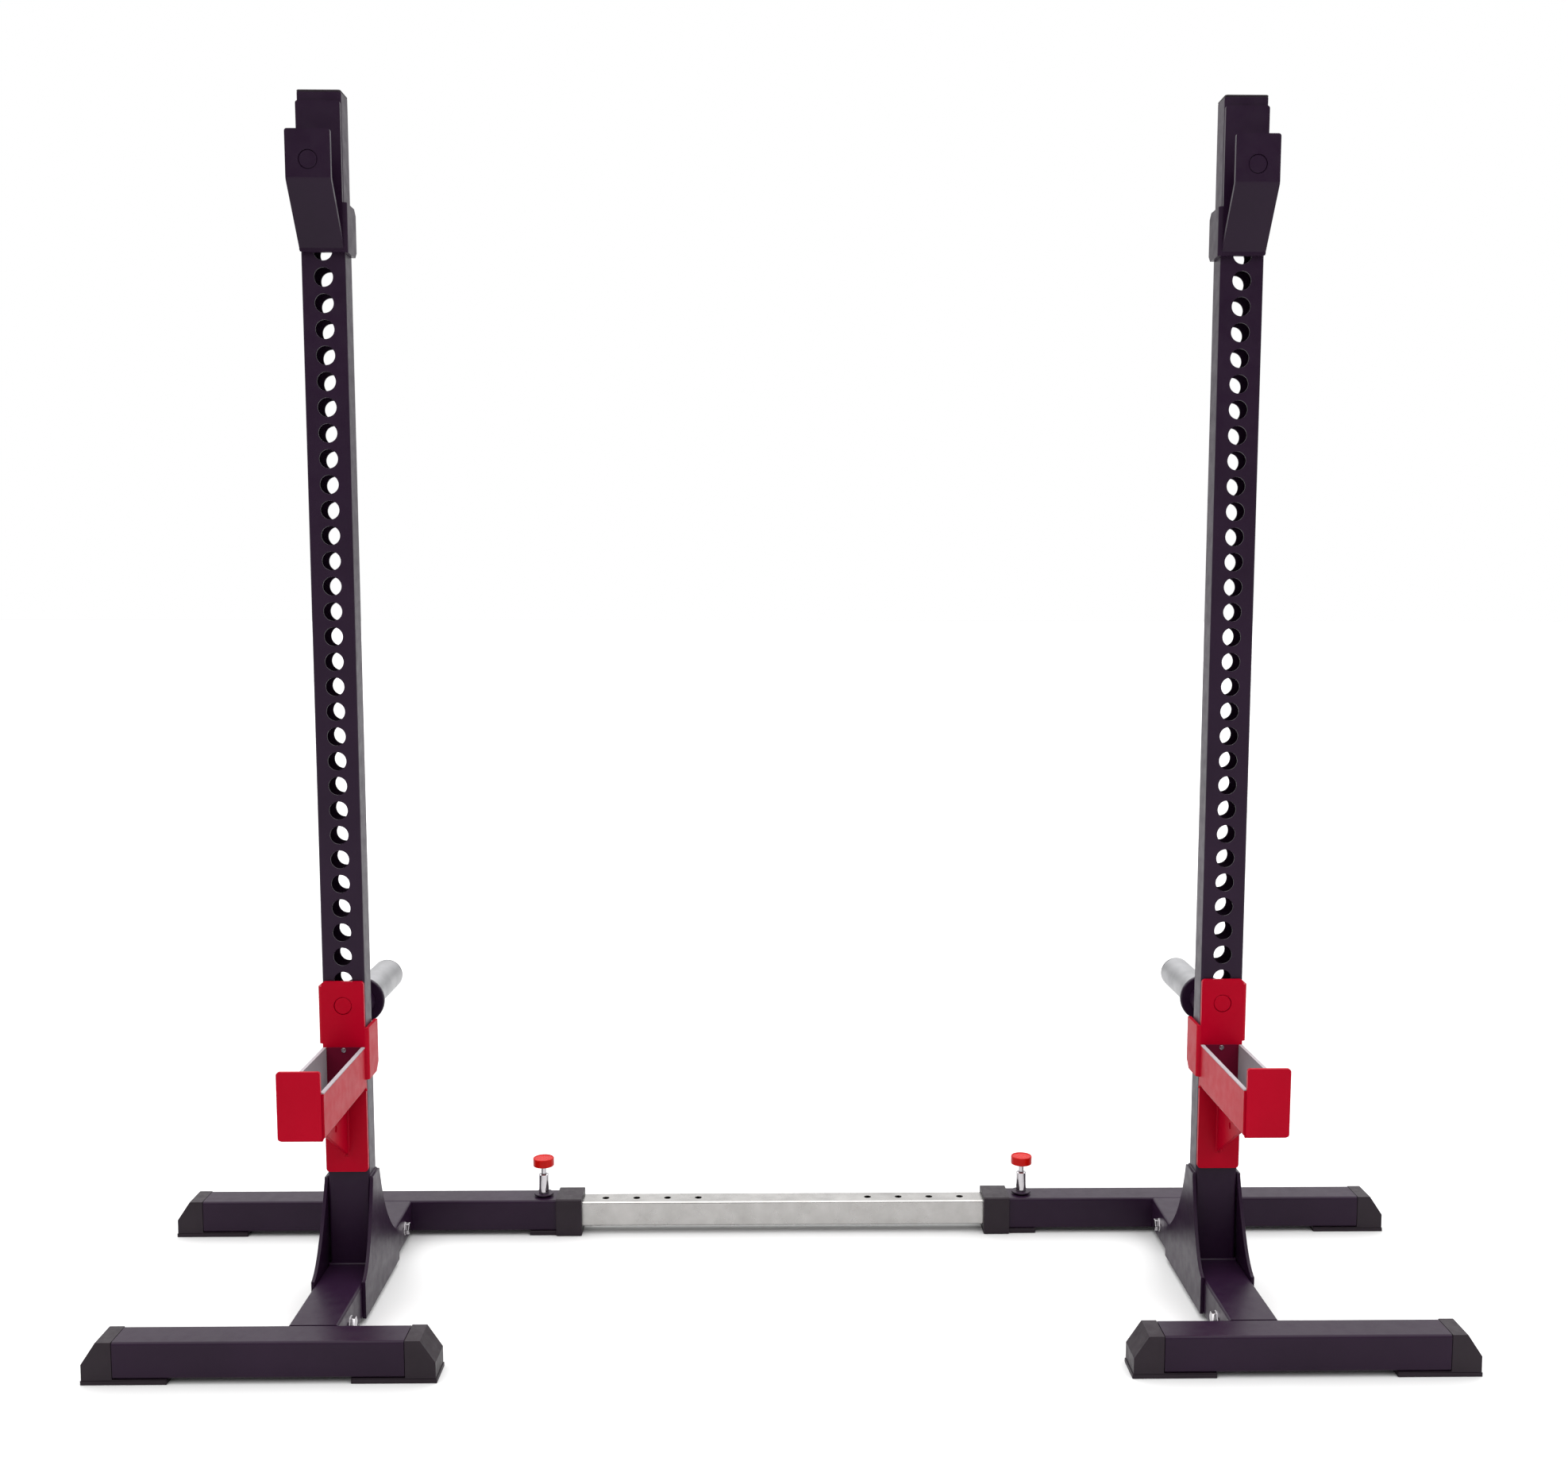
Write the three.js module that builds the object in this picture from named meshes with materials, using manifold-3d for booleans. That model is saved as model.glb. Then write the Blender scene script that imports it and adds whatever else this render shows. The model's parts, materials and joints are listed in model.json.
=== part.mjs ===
// Squat stand, in millimetres: +X to the viewer's right, +Y to the back, +Z up.
// Two stands, mirror images of each other, are joined by a telescoping cross tube.
// The origin is on the floor, under the middle of the whole stand at its widest setting.
// Each piece of a stand is drawn as the right-hand one, with +X outward, and mirrored for the left.

import * as THREE from 'three';
import { mergeVertices } from 'three/addons/utils/BufferGeometryUtils.js';
import Module from 'manifold-3d';

const wasm = await Module();
wasm.setup();

// Clearances, overruns and facets
const fitGap = 0.3; // between a pin, plug, sleeve or stub and what it enters
const cutOverrun = 10; // how far a cutting solid runs past what it cuts
const weldDistance = 0.001; // corners nearer than this are one corner
const pinSteps = 10; // sides of the pins and of the holes that they enter
const boltSteps = 8; // sides of the bolts, the nuts and other small holes
const roundSteps = 12; // sides of the larger round pieces
const curveSteps = 4; // steps along a gusset's curved edges
const cornerSteps = 1; // a rounded corner gets twice this many facets
const domeSteps = 3;

// Stance
const uprightSpacing = 1260; // between the uprights' centre lines
const tubeLift = 8; // the base tubes ride this far above the floor

// Upright: a rectangular tube with a row of holes from front to back
const uprightWidth = 60;
const uprightDepth = 40;
const uprightWall = 2.5;
const uprightCorner = 4;
const uprightTop = 1702;
const holeRadius = 13;
const holePitch = 35;
const lowestHoleHeight = 233;
const leastTopMargin = 30; // the highest hole stays at least this far below the tube's top
const uprightCapThickness = 3;
const uprightPlugDepth = 18;

// Base tubes: the front foot and the rear beam are square, the runner is as wide as the upright
const baseTube = 50;
const baseWall = 2.5;
const baseCorner = 4;
const runnerFrontReach = 200; // from the upright's front face forward to the foot
const runnerRearReach = 210; // from the upright's rear face back to the beam
const footInnerReach = 131; // from the upright's centre line to the foot tube's inner end
const footOuterReach = 248.5;
const beamInnerReach = 300;
const beamOuterReach = 300;
const stubLength = 90; // reach of the welded stubs into the runner
const stubWall = 3;

// Through-bolts that hold the stubs in the runner, with domed nuts on the inner side
const boltRadius = 5;
const boltHeadRadius = 9.5;
const boltHeadHeight = 6.5;
const boltHoleGap = 0.5;
const frontBoltInset = 60; // from the runner's front end to the bolt
const rearBoltInset = 50;
const hexSides = 6;
const nutHexHeight = 7;
const nutDomeRadius = 8;
const nutDomeHeight = 7;
const nutBoreDepth = 9;

// Gusset plates on both sides of the upright and the runner, in heights above the runner's top
const gussetThickness = 5;
const gussetRise = 131;
const gussetFrontReach = 72; // ahead of the upright's front face
const gussetFrontLip = 17; // height of the upright front edge below the arc
const gussetFrontRadius = 65;
const gussetRearReach = 98; // behind the upright's rear face
const gussetRearChamfer = 7;
const gussetRearBend = 20; // the rear curve's control point, behind the upright
const gussetRearBendRise = 37;

// Plastic caps on the outer ends of the foot and the beam, and on the foot's inner end
const capLength = 41;
const capFlat = 21; // length of the level top before the slope
const capNoseHeight = 28;
const capLip = 70; // length of the lip under the tube
const capSoleHeight = 6;
const capSoleEdge = 1.5; // the sole is this much longer than the nose
const plugWall = 2.5;
const plugDepth = 25;

// Plastic collar on the beam's inner end, which guides the cross tube
const collarWidth = 60;
const collarEndWall = 6;
const collarCover = 35; // length over the beam
const collarRise = 3; // above the beam's top
const collarLip = 43; // length of the lip under the beam
const guideLength = 36; // length of the guide sleeve inside the beam

// Cross tube: a smaller square tube with a row of holes for each pop-pin
const crossTube = 40;
const crossWall = 2;
const crossCorner = 3;
const crossEndMargin = 42.5; // from the outermost hole to the tube's end
const crossHoleRadius = 5.5;
const crossHolePitch = 50;
const crossHoleCount = 6; // on each side, the outermost under its pop-pin
const glideThickness = 3;

// Pop-pin on the rear beam, in heights above the beam's top
const popPinSetback = 57.5; // from the beam's inner end back to the pin
const bossRadius = 15.5;
const bossHeight = 2.5;
const barrelRadius = 8;
const barrelHeight = 36;
const barrelTopWall = 4;
const chamberRadius = 6.5; // the room for the spring
const chamberHeight = 20;
const plungerRadius = 5;
const plungerChamfer = 1;
const shoulderHeight = 3;
const knobRodRadius = 4;
const knobRodReach = 15; // how far the rod enters the knob
const knobLift = 9; // from the barrel's top to the knob
const knobRadius = 16.75;
const knobHeight = 25;
const knobChamfer = 3;
const knobRim = 2;
const knobRecess = 1;
const springWireRadius = 0.6;
const springCurls = 4;
const curlSteps = 6;
const wireSides = 4;

// Weight peg on the upright's rear face
const pegHeight = 425;
const pegReach = 226;
const pegPostRadius = 21;
const pegPostWall = 3;
const pegFlangeRadius = 34.5;
const pegFlangeThickness = 8;
const pegFlangeSetback = 56; // from the upright's rear face
const pegSleeveRadius = 24;
const pegCapThickness = 4;
const pegCapChamfer = 1.5;
const pegPlugDepth = 15;

// Pins of the hook and the spotter, which enter the upright's holes
const holderPinRadius = 12.5;
const holderPinChamfer = 2;
const holderPinSetback = 2; // from the pin's end to the upright's rear face

// Ears: tabs bent back from the plates of the hook and the spotter, along the upright's sides
const earThickness = 5;
const earBend = 5;
const earRoot = 12; // overlap of the tab's root with the plate

// J-hook, in heights from its pin's axis
const holesAboveHookCount = 2;
const hookPlate = 6;
const hookTop = 91;
const hookBottom = -108;
const hookCorner = 3.5;
const hookLipReach = 62; // from the upright to the lip's front face
const hookLipTop = 39.5;
const hookLipBottom = -25;
const hookSlantFoot = -107;
const hookSleeveRadius = 15.3;
const hookEarReach = 45;
const hookEarChamfer = 8;
const hookInnerEarTop = -42;
const hookOuterEarTop = 47;
const hookOuterEarBottom = 2;

// Spotter, in heights from its pin's axis
const holesBelowSpotterCount = 6;
const spotterPlate = 6;
const spotterTop = 35;
const spotterBottom = -244;
const spotterCorner = 5;
const armReach = 225; // from the upright to the back of the front plate
const armTop = -62;
const armBottom = -123;
const armWall = 3;
const frontPlateThickness = 5;
const frontPlateTop = -31;
const frontPlateInset = 3; // the front plate stops this far short on the inner side
const frontPlateCorner = 4;
const webThickness = 5;
const webReach = 167;
const webDrop = 95;
const webHoleRadius = 5;
const webHoleReach = 69;
const webHoleDrop = 37;
const linerWall = 2;
const linerEndGap = 1;
const spotterEarReach = 50;
const spotterEarChamfer = 12;
const spotterInnerEarTop = -33;
const spotterInnerEarBottom = -108;
const spotterOuterEarTop = 28;
const spotterOuterEarBottom = -55;

// Places that follow from the sizes above
const baseTop = tubeLift + baseTube;
const baseMiddle = tubeLift + baseTube / 2;
const uprightSide = uprightWidth / 2;
const holeCount = 1 + Math.floor((uprightTop - leastTopMargin - lowestHoleHeight) / holePitch);
const hookHeight = lowestHoleHeight + (holeCount - 1 - holesAboveHookCount) * holePitch;
const spotterHeight = lowestHoleHeight + holesBelowSpotterCount * holePitch;
const runnerFront = -runnerFrontReach;
const runnerRear = uprightDepth + runnerRearReach;
const footMiddle = runnerFront - baseTube / 2;
const beamMiddle = runnerRear + baseTube / 2;
const frontmost = runnerFront - baseTube;
const rearmost = beamMiddle + collarWidth / 2;
const baseBore = baseTube - 2 * baseWall;
const baseBoreCorner = baseCorner - baseWall;
const popPinInset = beamInnerReach - popPinSetback; // from the upright's centre line in to the pin
const outermostCrossHole = uprightSpacing / 2 - popPinInset;
const crossLength = 2 * (outermostCrossHole + crossEndMargin);
const boltHoleRadius = boltRadius + boltHoleGap;
const holderHoleRadius = holderPinRadius + fitGap;
const chamberTop = barrelHeight - barrelTopWall;
const chamberFloor = chamberTop - chamberHeight;

// Finishes

function paint(color) {
  return new THREE.MeshStandardMaterial({ color, roughness: 0.55, metalness: 0.25 });
}

function plastic(color) {
  return new THREE.MeshStandardMaterial({ color, roughness: 0.7, metalness: 0 });
}

function metal(color) {
  return new THREE.MeshStandardMaterial({ color, roughness: 0.3, metalness: 1 });
}

const blackPaint = 0x2d2632;
const redPaint = 0xaa0023;
const blackPlastic = 0x2a2529;
const redPlastic = 0xdc140a;
const greyPlastic = 0xa8a4a6;
const zinc = 0xbebcb9;
const chrome = 0xd8d8da;
const springSteel = 0x8f9094;

// Solids for cutting and joining

function solidOf(geometry) {
  geometry.deleteAttribute('normal');
  geometry.deleteAttribute('uv');
  const merged = mergeVertices(geometry, weldDistance);
  return new wasm.Manifold(new wasm.Mesh({
    numProp: 3,
    vertProperties: new Float32Array(merged.attributes.position.array),
    triVerts: new Uint32Array(merged.index.array),
  }));
}

function geometryOf(solid) {
  const mesh = solid.getMesh();
  const geometry = new THREE.BufferGeometry();
  geometry.setAttribute('position', new THREE.BufferAttribute(mesh.vertProperties, 3));
  geometry.setIndex(new THREE.BufferAttribute(mesh.triVerts, 1));
  return geometry;
}

const drawnInYZ = new THREE.Matrix4().makeBasis(
  new THREE.Vector3(0, 1, 0),
  new THREE.Vector3(0, 0, 1),
  new THREE.Vector3(1, 0, 0),
);
const drawnInXZ = new THREE.Matrix4().makeBasis(
  new THREE.Vector3(1, 0, 0),
  new THREE.Vector3(0, 0, 1),
  new THREE.Vector3(0, -1, 0),
);

function extruded(shape, depth, steps) {
  return new THREE.ExtrudeGeometry(shape, { depth, bevelEnabled: false, curveSegments: steps });
}

// A shape drawn in (y, z) becomes a prism along X
function prismX(shape, from, to, steps = cornerSteps) {
  return solidOf(extruded(shape, to - from, steps).applyMatrix4(drawnInYZ).translate(from, 0, 0));
}

// A shape drawn in (x, z) becomes a prism along Y
function prismY(shape, from, to, steps = cornerSteps) {
  return solidOf(extruded(shape, to - from, steps).applyMatrix4(drawnInXZ).translate(0, to, 0));
}

// A shape drawn in (x, y) becomes a prism along Z
function prismZ(shape, from, to, steps = cornerSteps) {
  return solidOf(extruded(shape, to - from, steps).translate(0, 0, from));
}

function cylinder(radius, length, steps) {
  return new THREE.CylinderGeometry(radius, radius, length, steps);
}

// Rods run between two places along an axis, through a point of the other two coordinates
function rodX(radius, from, to, y, z, steps = pinSteps) {
  return solidOf(cylinder(radius, to - from, steps).rotateZ(Math.PI / 2).translate((from + to) / 2, y, z));
}

function rodY(radius, from, to, x, z, steps = pinSteps) {
  return solidOf(cylinder(radius, to - from, steps).translate(x, (from + to) / 2, z));
}

function rodZ(radius, from, to, x, y, steps = pinSteps) {
  return solidOf(cylinder(radius, to - from, steps).rotateX(Math.PI / 2).translate(x, y, (from + to) / 2));
}

// A profile of [radius, place] points is turned about its axis, with the material on its left
function turned(profile, steps) {
  return new THREE.LatheGeometry(profile.map(([radius, place]) => new THREE.Vector2(radius, place)), steps);
}

function turnedX(profile, steps = roundSteps) {
  return solidOf(turned(profile, steps).rotateZ(-Math.PI / 2));
}

function turnedY(profile, steps = roundSteps) {
  return solidOf(turned(profile, steps));
}

function turnedZ(profile, steps = roundSteps) {
  return solidOf(turned(profile, steps).rotateX(Math.PI / 2));
}

// A plain ring: its inner and outer radius, and its two ends along the axis
function ringProfile(inner, outer, from, to) {
  return [[inner, from], [outer, from], [outer, to], [inner, to], [inner, from]];
}

// Outlines

function corners(left, right, bottom, top) {
  return [[left, bottom], [right, bottom], [right, top], [left, top]].map(([x, y]) => new THREE.Vector2(x, y));
}

function drawRounded(outline, left, right, bottom, top, radius) {
  if (radius <= 0) {
    return outline.setFromPoints(corners(left, right, bottom, top));
  }
  outline.absarc(right - radius, bottom + radius, radius, -Math.PI / 2, 0);
  outline.absarc(right - radius, top - radius, radius, 0, Math.PI / 2);
  outline.absarc(left + radius, top - radius, radius, Math.PI / 2, Math.PI);
  outline.absarc(left + radius, bottom + radius, radius, Math.PI, 1.5 * Math.PI);
  outline.closePath();
  return outline;
}

function plateOutline(left, right, bottom, top, radius) {
  return drawRounded(new THREE.Shape(), left, right, bottom, top, radius);
}

function barOutline(width, height, corner) {
  return plateOutline(-width / 2, width / 2, -height / 2, height / 2, corner);
}

function tubeOutline(width, height, wall, corner) {
  const across = width / 2 - wall;
  const up = height / 2 - wall;
  const shape = barOutline(width, height, corner);
  shape.holes.push(drawRounded(new THREE.Path(), -across, across, -up, up, corner - wall));
  return shape;
}

// A hollow plug or stub that enters a tube's bore with a gap all round
function plugOutline(boreWidth, boreHeight, boreCorner, wall) {
  return tubeOutline(boreWidth - 2 * fitGap, boreHeight - 2 * fitGap, wall, boreCorner);
}

function polygon(points) {
  return new THREE.Shape(points.map(([across, up]) => new THREE.Vector2(across, up)));
}

// A strip bent along a line of points, with its thickness on the line's left
function bentStrip(line, thickness) {
  const points = line.map(([across, up]) => new THREE.Vector2(across, up));
  const normals = points.slice(1).map((point, i) => {
    const run = point.clone().sub(points[i]).normalize();
    return new THREE.Vector2(-run.y, run.x);
  });
  const offset = points.map((point, i) => {
    const before = normals[Math.max(i - 1, 0)];
    const after = normals[Math.min(i, normals.length - 1)];
    const mitre = before.clone().add(after).multiplyScalar(thickness / (1 + before.dot(after)));
    return point.clone().add(mitre);
  });
  return new THREE.Shape([...points].reverse().concat(offset));
}

// Upright, runner and gussets, drawn about the upright's centre line

function upright() {
  const outline = tubeOutline(uprightWidth, uprightDepth, uprightWall, uprightCorner);
  const reach = uprightDepth / 2 + cutOverrun;
  let solid = prismZ(outline, baseTop, uprightTop);
  for (let number = 0; number < holeCount; number += 1) {
    solid = solid.subtract(rodY(holeRadius, -reach, reach, 0, lowestHoleHeight + number * holePitch));
  }
  return solid;
}

function uprightCap() {
  const boreWidth = uprightWidth - 2 * uprightWall;
  const boreDepth = uprightDepth - 2 * uprightWall;
  const plug = plugOutline(boreWidth, boreDepth, uprightCorner - uprightWall, plugWall);
  return prismZ(barOutline(uprightWidth, uprightDepth, uprightCorner), 0, uprightCapThickness)
    .add(prismZ(plug, -uprightPlugDepth, uprightCapThickness / 2));
}

function runner() {
  const reach = uprightSide + cutOverrun;
  return prismY(tubeOutline(uprightWidth, baseTube, baseWall, baseCorner), runnerFront, runnerRear)
    .subtract(rodX(boltHoleRadius, -reach, reach, runnerFront + frontBoltInset, 0, boltSteps))
    .subtract(rodX(boltHoleRadius, -reach, reach, runnerRear - rearBoltInset, 0, boltSteps));
}

function gusset() {
  const front = -gussetFrontReach;
  const arcHeight = gussetFrontLip + gussetFrontRadius;
  const rear = uprightDepth + gussetRearReach;
  const outline = new THREE.Shape();
  outline.moveTo(front, -baseTube);
  outline.lineTo(rear, -baseTube);
  outline.lineTo(rear, -gussetRearChamfer);
  outline.lineTo(rear - gussetRearChamfer, 0);
  outline.quadraticCurveTo(uprightDepth + gussetRearBend, gussetRearBendRise, uprightDepth, gussetRise);
  outline.lineTo(0, gussetRise);
  outline.lineTo(front + gussetFrontRadius, arcHeight);
  outline.absarc(front, arcHeight, gussetFrontRadius, 0, -Math.PI / 2, true);
  outline.closePath();
  return prismX(outline, 0, gussetThickness, curveSteps);
}

// Front foot and rear beam, drawn about their own middle lines

function stub(from, to, boltPlace) {
  const boreWidth = uprightWidth - 2 * baseWall;
  return prismY(plugOutline(boreWidth, baseBore, baseBoreCorner, stubWall), from, to)
    .subtract(rodX(boltHoleRadius, -boreWidth, boreWidth, boltPlace, 0, boltSteps));
}

function frontFoot() {
  const back = baseTube / 2;
  const tube = prismX(tubeOutline(baseTube, baseTube, baseWall, baseCorner), -footInnerReach, footOuterReach);
  return tube.add(stub(back - baseWall / 2, back + stubLength, back + frontBoltInset));
}

function rearBeam() {
  const face = baseTube / 2;
  const boreRadius = barrelRadius + fitGap;
  const tube = prismX(tubeOutline(baseTube, baseTube, baseWall, baseCorner), -beamInnerReach, beamOuterReach);
  const boss = rodZ(bossRadius, face - baseWall, face + bossHeight, -popPinInset, 0, roundSteps);
  const bore = rodZ(boreRadius, 0, face + cutOverrun, -popPinInset, 0, roundSteps);
  return tube
    .add(boss)
    .subtract(bore)
    .add(stub(-face - stubLength, baseWall / 2 - face, -face - rearBoltInset));
}

// Bolt and domed nut, drawn along X from the runner's middle line and from the nut's seat

function bolt() {
  const head = rodX(boltHeadRadius, uprightSide, uprightSide + boltHeadHeight, 0, 0, hexSides);
  const end = fitGap - uprightSide - nutBoreDepth;
  return head.add(rodX(boltRadius, end, uprightSide + boltHeadHeight / 2, 0, 0, boltSteps));
}

function domedNut() {
  const profile = [[0, 0], [nutDomeRadius, 0]];
  for (let step = 0; step <= domeSteps; step += 1) {
    const angle = (Math.PI / 2) * (step / domeSteps);
    const radius = step < domeSteps ? nutDomeRadius * Math.cos(angle) : 0;
    profile.push([radius, nutHexHeight + nutDomeHeight * Math.sin(angle)]);
  }
  return turnedX(profile, boltSteps)
    .add(rodX(boltHeadRadius, 0, nutHexHeight, 0, 0, hexSides))
    .subtract(rodX(boltRadius + fitGap, -cutOverrun, nutBoreDepth, 0, 0, boltSteps));
}

// Plastic ends, drawn outward from the tube's end

function footCap() {
  const side = baseTube / 2;
  const floor = -baseMiddle;
  const outline = polygon([
    [0, side],
    [0, -side],
    [-capLip, -side],
    [-capLip, floor],
    [capLength + capSoleEdge, floor],
    [capLength + capSoleEdge, floor + capSoleHeight],
    [capLength, floor + capSoleHeight],
    [capLength, floor + capNoseHeight],
    [capFlat, side],
  ]);
  return prismY(outline, -side, side)
    .add(prismX(plugOutline(baseBore, baseBore, baseBoreCorner, plugWall), -plugDepth, capFlat / 2));
}

function collar() {
  const side = collarWidth / 2;
  const floor = -baseMiddle;
  const mouth = -collarEndWall;
  const cover = baseTube + 2 * fitGap;
  const passage = crossTube + 2 * fitGap;
  const guide = baseBore - 2 * fitGap;
  const lip = plateOutline(-baseTube / 2, baseTube / 2, floor, -cover / 2, fitGap);
  const shell = prismX(plateOutline(-side, side, floor, baseTube / 2 + collarRise, baseCorner), mouth, collarCover);
  return shell
    .add(prismX(lip, mouth, collarCover + collarLip))
    .subtract(prismX(barOutline(cover, cover, baseCorner), 0, collarCover + cutOverrun))
    .add(prismX(barOutline(guide, guide, baseBoreCorner), mouth, guideLength))
    .subtract(prismX(barOutline(passage, passage, crossCorner), mouth - cutOverrun, guideLength + cutOverrun));
}

// Cross tube and the glide plugs in its ends

function crossTubeSolid() {
  let solid = prismX(tubeOutline(crossTube, crossTube, crossWall, crossCorner), -crossLength / 2, crossLength / 2);
  for (let number = 0; number < crossHoleCount; number += 1) {
    const place = outermostCrossHole - number * crossHolePitch;
    solid = solid
      .subtract(rodZ(crossHoleRadius, 0, crossTube, place, 0, boltSteps))
      .subtract(rodZ(crossHoleRadius, 0, crossTube, -place, 0, boltSteps));
  }
  return solid;
}

function glidePlug() {
  const size = baseBore - 2 * fitGap;
  const bore = crossTube - 2 * crossWall;
  return prismX(barOutline(size, size, baseBoreCorner), 0, glideThickness)
    .add(prismX(plugOutline(bore, bore, crossCorner - crossWall, plugWall), -plugDepth, glideThickness / 2));
}

// Pop-pin, drawn about its axis from the beam's top

function pinBarrel() {
  return turnedZ([
    [plungerRadius + fitGap, fitGap - baseWall],
    [barrelRadius, fitGap - baseWall],
    [barrelRadius, barrelHeight],
    [knobRodRadius + fitGap, barrelHeight],
    [knobRodRadius + fitGap, chamberTop],
    [chamberRadius, chamberTop],
    [chamberRadius, chamberFloor],
    [plungerRadius + fitGap, chamberFloor],
    [plungerRadius + fitGap, fitGap - baseWall],
  ]);
}

// The plunger's tip stops a gap short of the cross tube, over one of its holes
function pinRod() {
  const tip = fitGap - (baseTube - crossTube) / 2;
  const shoulderRadius = chamberRadius - fitGap;
  const shoulderTop = chamberFloor + shoulderHeight;
  const end = barrelHeight + knobLift + knobRodReach;
  return turnedZ([
    [0, tip],
    [plungerRadius - plungerChamfer, tip],
    [plungerRadius, tip + plungerChamfer],
    [plungerRadius, chamberFloor],
    [shoulderRadius, chamberFloor],
    [shoulderRadius, shoulderTop],
    [knobRodRadius, shoulderTop],
    [knobRodRadius, end],
    [0, end],
  ]);
}

function pinKnob() {
  const bottom = barrelHeight + knobLift;
  const top = bottom + knobHeight;
  const bore = knobRodRadius + fitGap;
  return turnedZ([
    [0, bottom + knobRodReach],
    [bore, bottom + knobRodReach],
    [bore, bottom],
    [knobRadius - knobChamfer, bottom],
    [knobRadius, bottom + knobChamfer],
    [knobRadius, top - knobRecess],
    [knobRadius - knobRecess, top],
    [knobRadius - knobRim, top],
    [knobRadius - knobRim - knobRecess, top - knobRecess],
    [0, top - knobRecess],
  ]);
}

class SpringLine extends THREE.Curve {
  getPoint(share) {
    const bottom = chamberFloor + shoulderHeight + springWireRadius + fitGap;
    const top = chamberTop - springWireRadius - fitGap;
    const radius = (knobRodRadius + chamberRadius) / 2;
    const angle = 2 * Math.PI * springCurls * share;
    return new THREE.Vector3(
      radius * Math.cos(angle),
      radius * Math.sin(angle),
      bottom + share * (top - bottom),
    );
  }
}

function pinSpring() {
  const section = Array.from({ length: wireSides }, (_, side) => {
    const angle = 2 * Math.PI * (side / wireSides);
    return [springWireRadius * Math.cos(angle), springWireRadius * Math.sin(angle)];
  });
  const path = { steps: springCurls * curlSteps, extrudePath: new SpringLine() };
  return solidOf(new THREE.ExtrudeGeometry(polygon(section), path));
}

// Weight peg, drawn back from the upright's rear face

function pegPost() {
  const inner = pegPostRadius - pegPostWall;
  const flangeBack = pegFlangeSetback + pegFlangeThickness;
  return turnedY([
    [inner, 0],
    [pegPostRadius, 0],
    [pegPostRadius, pegFlangeSetback],
    [pegFlangeRadius, pegFlangeSetback],
    [pegFlangeRadius, flangeBack],
    [pegPostRadius, flangeBack],
    [pegPostRadius, pegReach],
    [inner, pegReach],
    [inner, 0],
  ]);
}

function pegSleeve() {
  const seat = pegFlangeSetback + pegFlangeThickness;
  return turnedY(ringProfile(pegPostRadius + fitGap, pegSleeveRadius, seat, pegReach));
}

function pegCap() {
  const plugRadius = pegPostRadius - pegPostWall - fitGap;
  const end = pegReach + pegCapThickness;
  return turnedY([
    [0, pegReach],
    [plugRadius - plugWall, pegReach],
    [plugRadius - plugWall, pegReach - pegPlugDepth],
    [plugRadius, pegReach - pegPlugDepth],
    [plugRadius, pegReach],
    [pegSleeveRadius, pegReach],
    [pegSleeveRadius, end - pegCapChamfer],
    [pegSleeveRadius - pegCapChamfer, end],
    [0, end],
  ]);
}

// Holders: the hook and the spotter, drawn about their pin's axis from the upright's front face

function holderPin(front) {
  const end = uprightDepth - holderPinSetback;
  return turnedY([
    [0, front],
    [holderPinRadius, front],
    [holderPinRadius, end - holderPinChamfer],
    [holderPinRadius - holderPinChamfer, end],
    [0, end],
  ], pinSteps);
}

// A tab bent back from a plate: side is 1 on the outer side and -1 on the inner side
function ear(side, bottom, top, reach, plate, chamferBottom, chamferTop) {
  const near = uprightSide + fitGap;
  const far = near + earThickness;
  const root = uprightSide - earRoot;
  const bend = new THREE.Shape();
  bend.moveTo(side * root, -plate);
  bend.lineTo(side * (far - earBend), -plate);
  bend.quadraticCurveTo(side * far, -plate, side * far, earBend - plate);
  bend.lineTo(side * far, reach);
  bend.lineTo(side * near, reach);
  bend.lineTo(side * near, 0);
  bend.lineTo(side * root, 0);
  bend.closePath();
  const profile = polygon([
    [-plate - cutOverrun, bottom],
    [reach - chamferBottom, bottom],
    [reach, bottom + chamferBottom],
    [reach, top - chamferTop],
    [reach - chamferTop, top],
    [-plate - cutOverrun, top],
  ]);
  return prismZ(bend, bottom, top, curveSteps / 2).intersect(prismX(profile, -far - cutOverrun, far + cutOverrun));
}

function jHook() {
  const lipLine = [[-hookLipReach, hookLipTop], [-hookLipReach, hookLipBottom], [-hookPlate / 2, hookSlantFoot]];
  const front = plateOutline(-uprightSide, uprightSide, hookBottom, hookLipTop, hookCorner);
  const lip = prismX(bentStrip(lipLine, hookPlate), -uprightSide, uprightSide)
    .intersect(prismY(front, -hookLipReach - cutOverrun, -hookPlate / 2));
  const back = prismY(plateOutline(-uprightSide, uprightSide, hookBottom, hookTop, hookCorner), -hookPlate, 0);
  const earPlate = [hookEarReach, hookPlate, hookEarChamfer, hookEarChamfer];
  return back
    .add(lip)
    .add(ear(-1, hookBottom, hookInnerEarTop, ...earPlate))
    .add(ear(1, hookOuterEarBottom, hookOuterEarTop, ...earPlate))
    .subtract(rodY(holderHoleRadius, -hookLipReach - cutOverrun, cutOverrun, 0, 0));
}

function hookSleeve() {
  const front = -hookLipReach + hookPlate + fitGap;
  return turnedY(ringProfile(holderHoleRadius, hookSleeveRadius, front, -hookPlate - fitGap), pinSteps);
}

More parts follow.
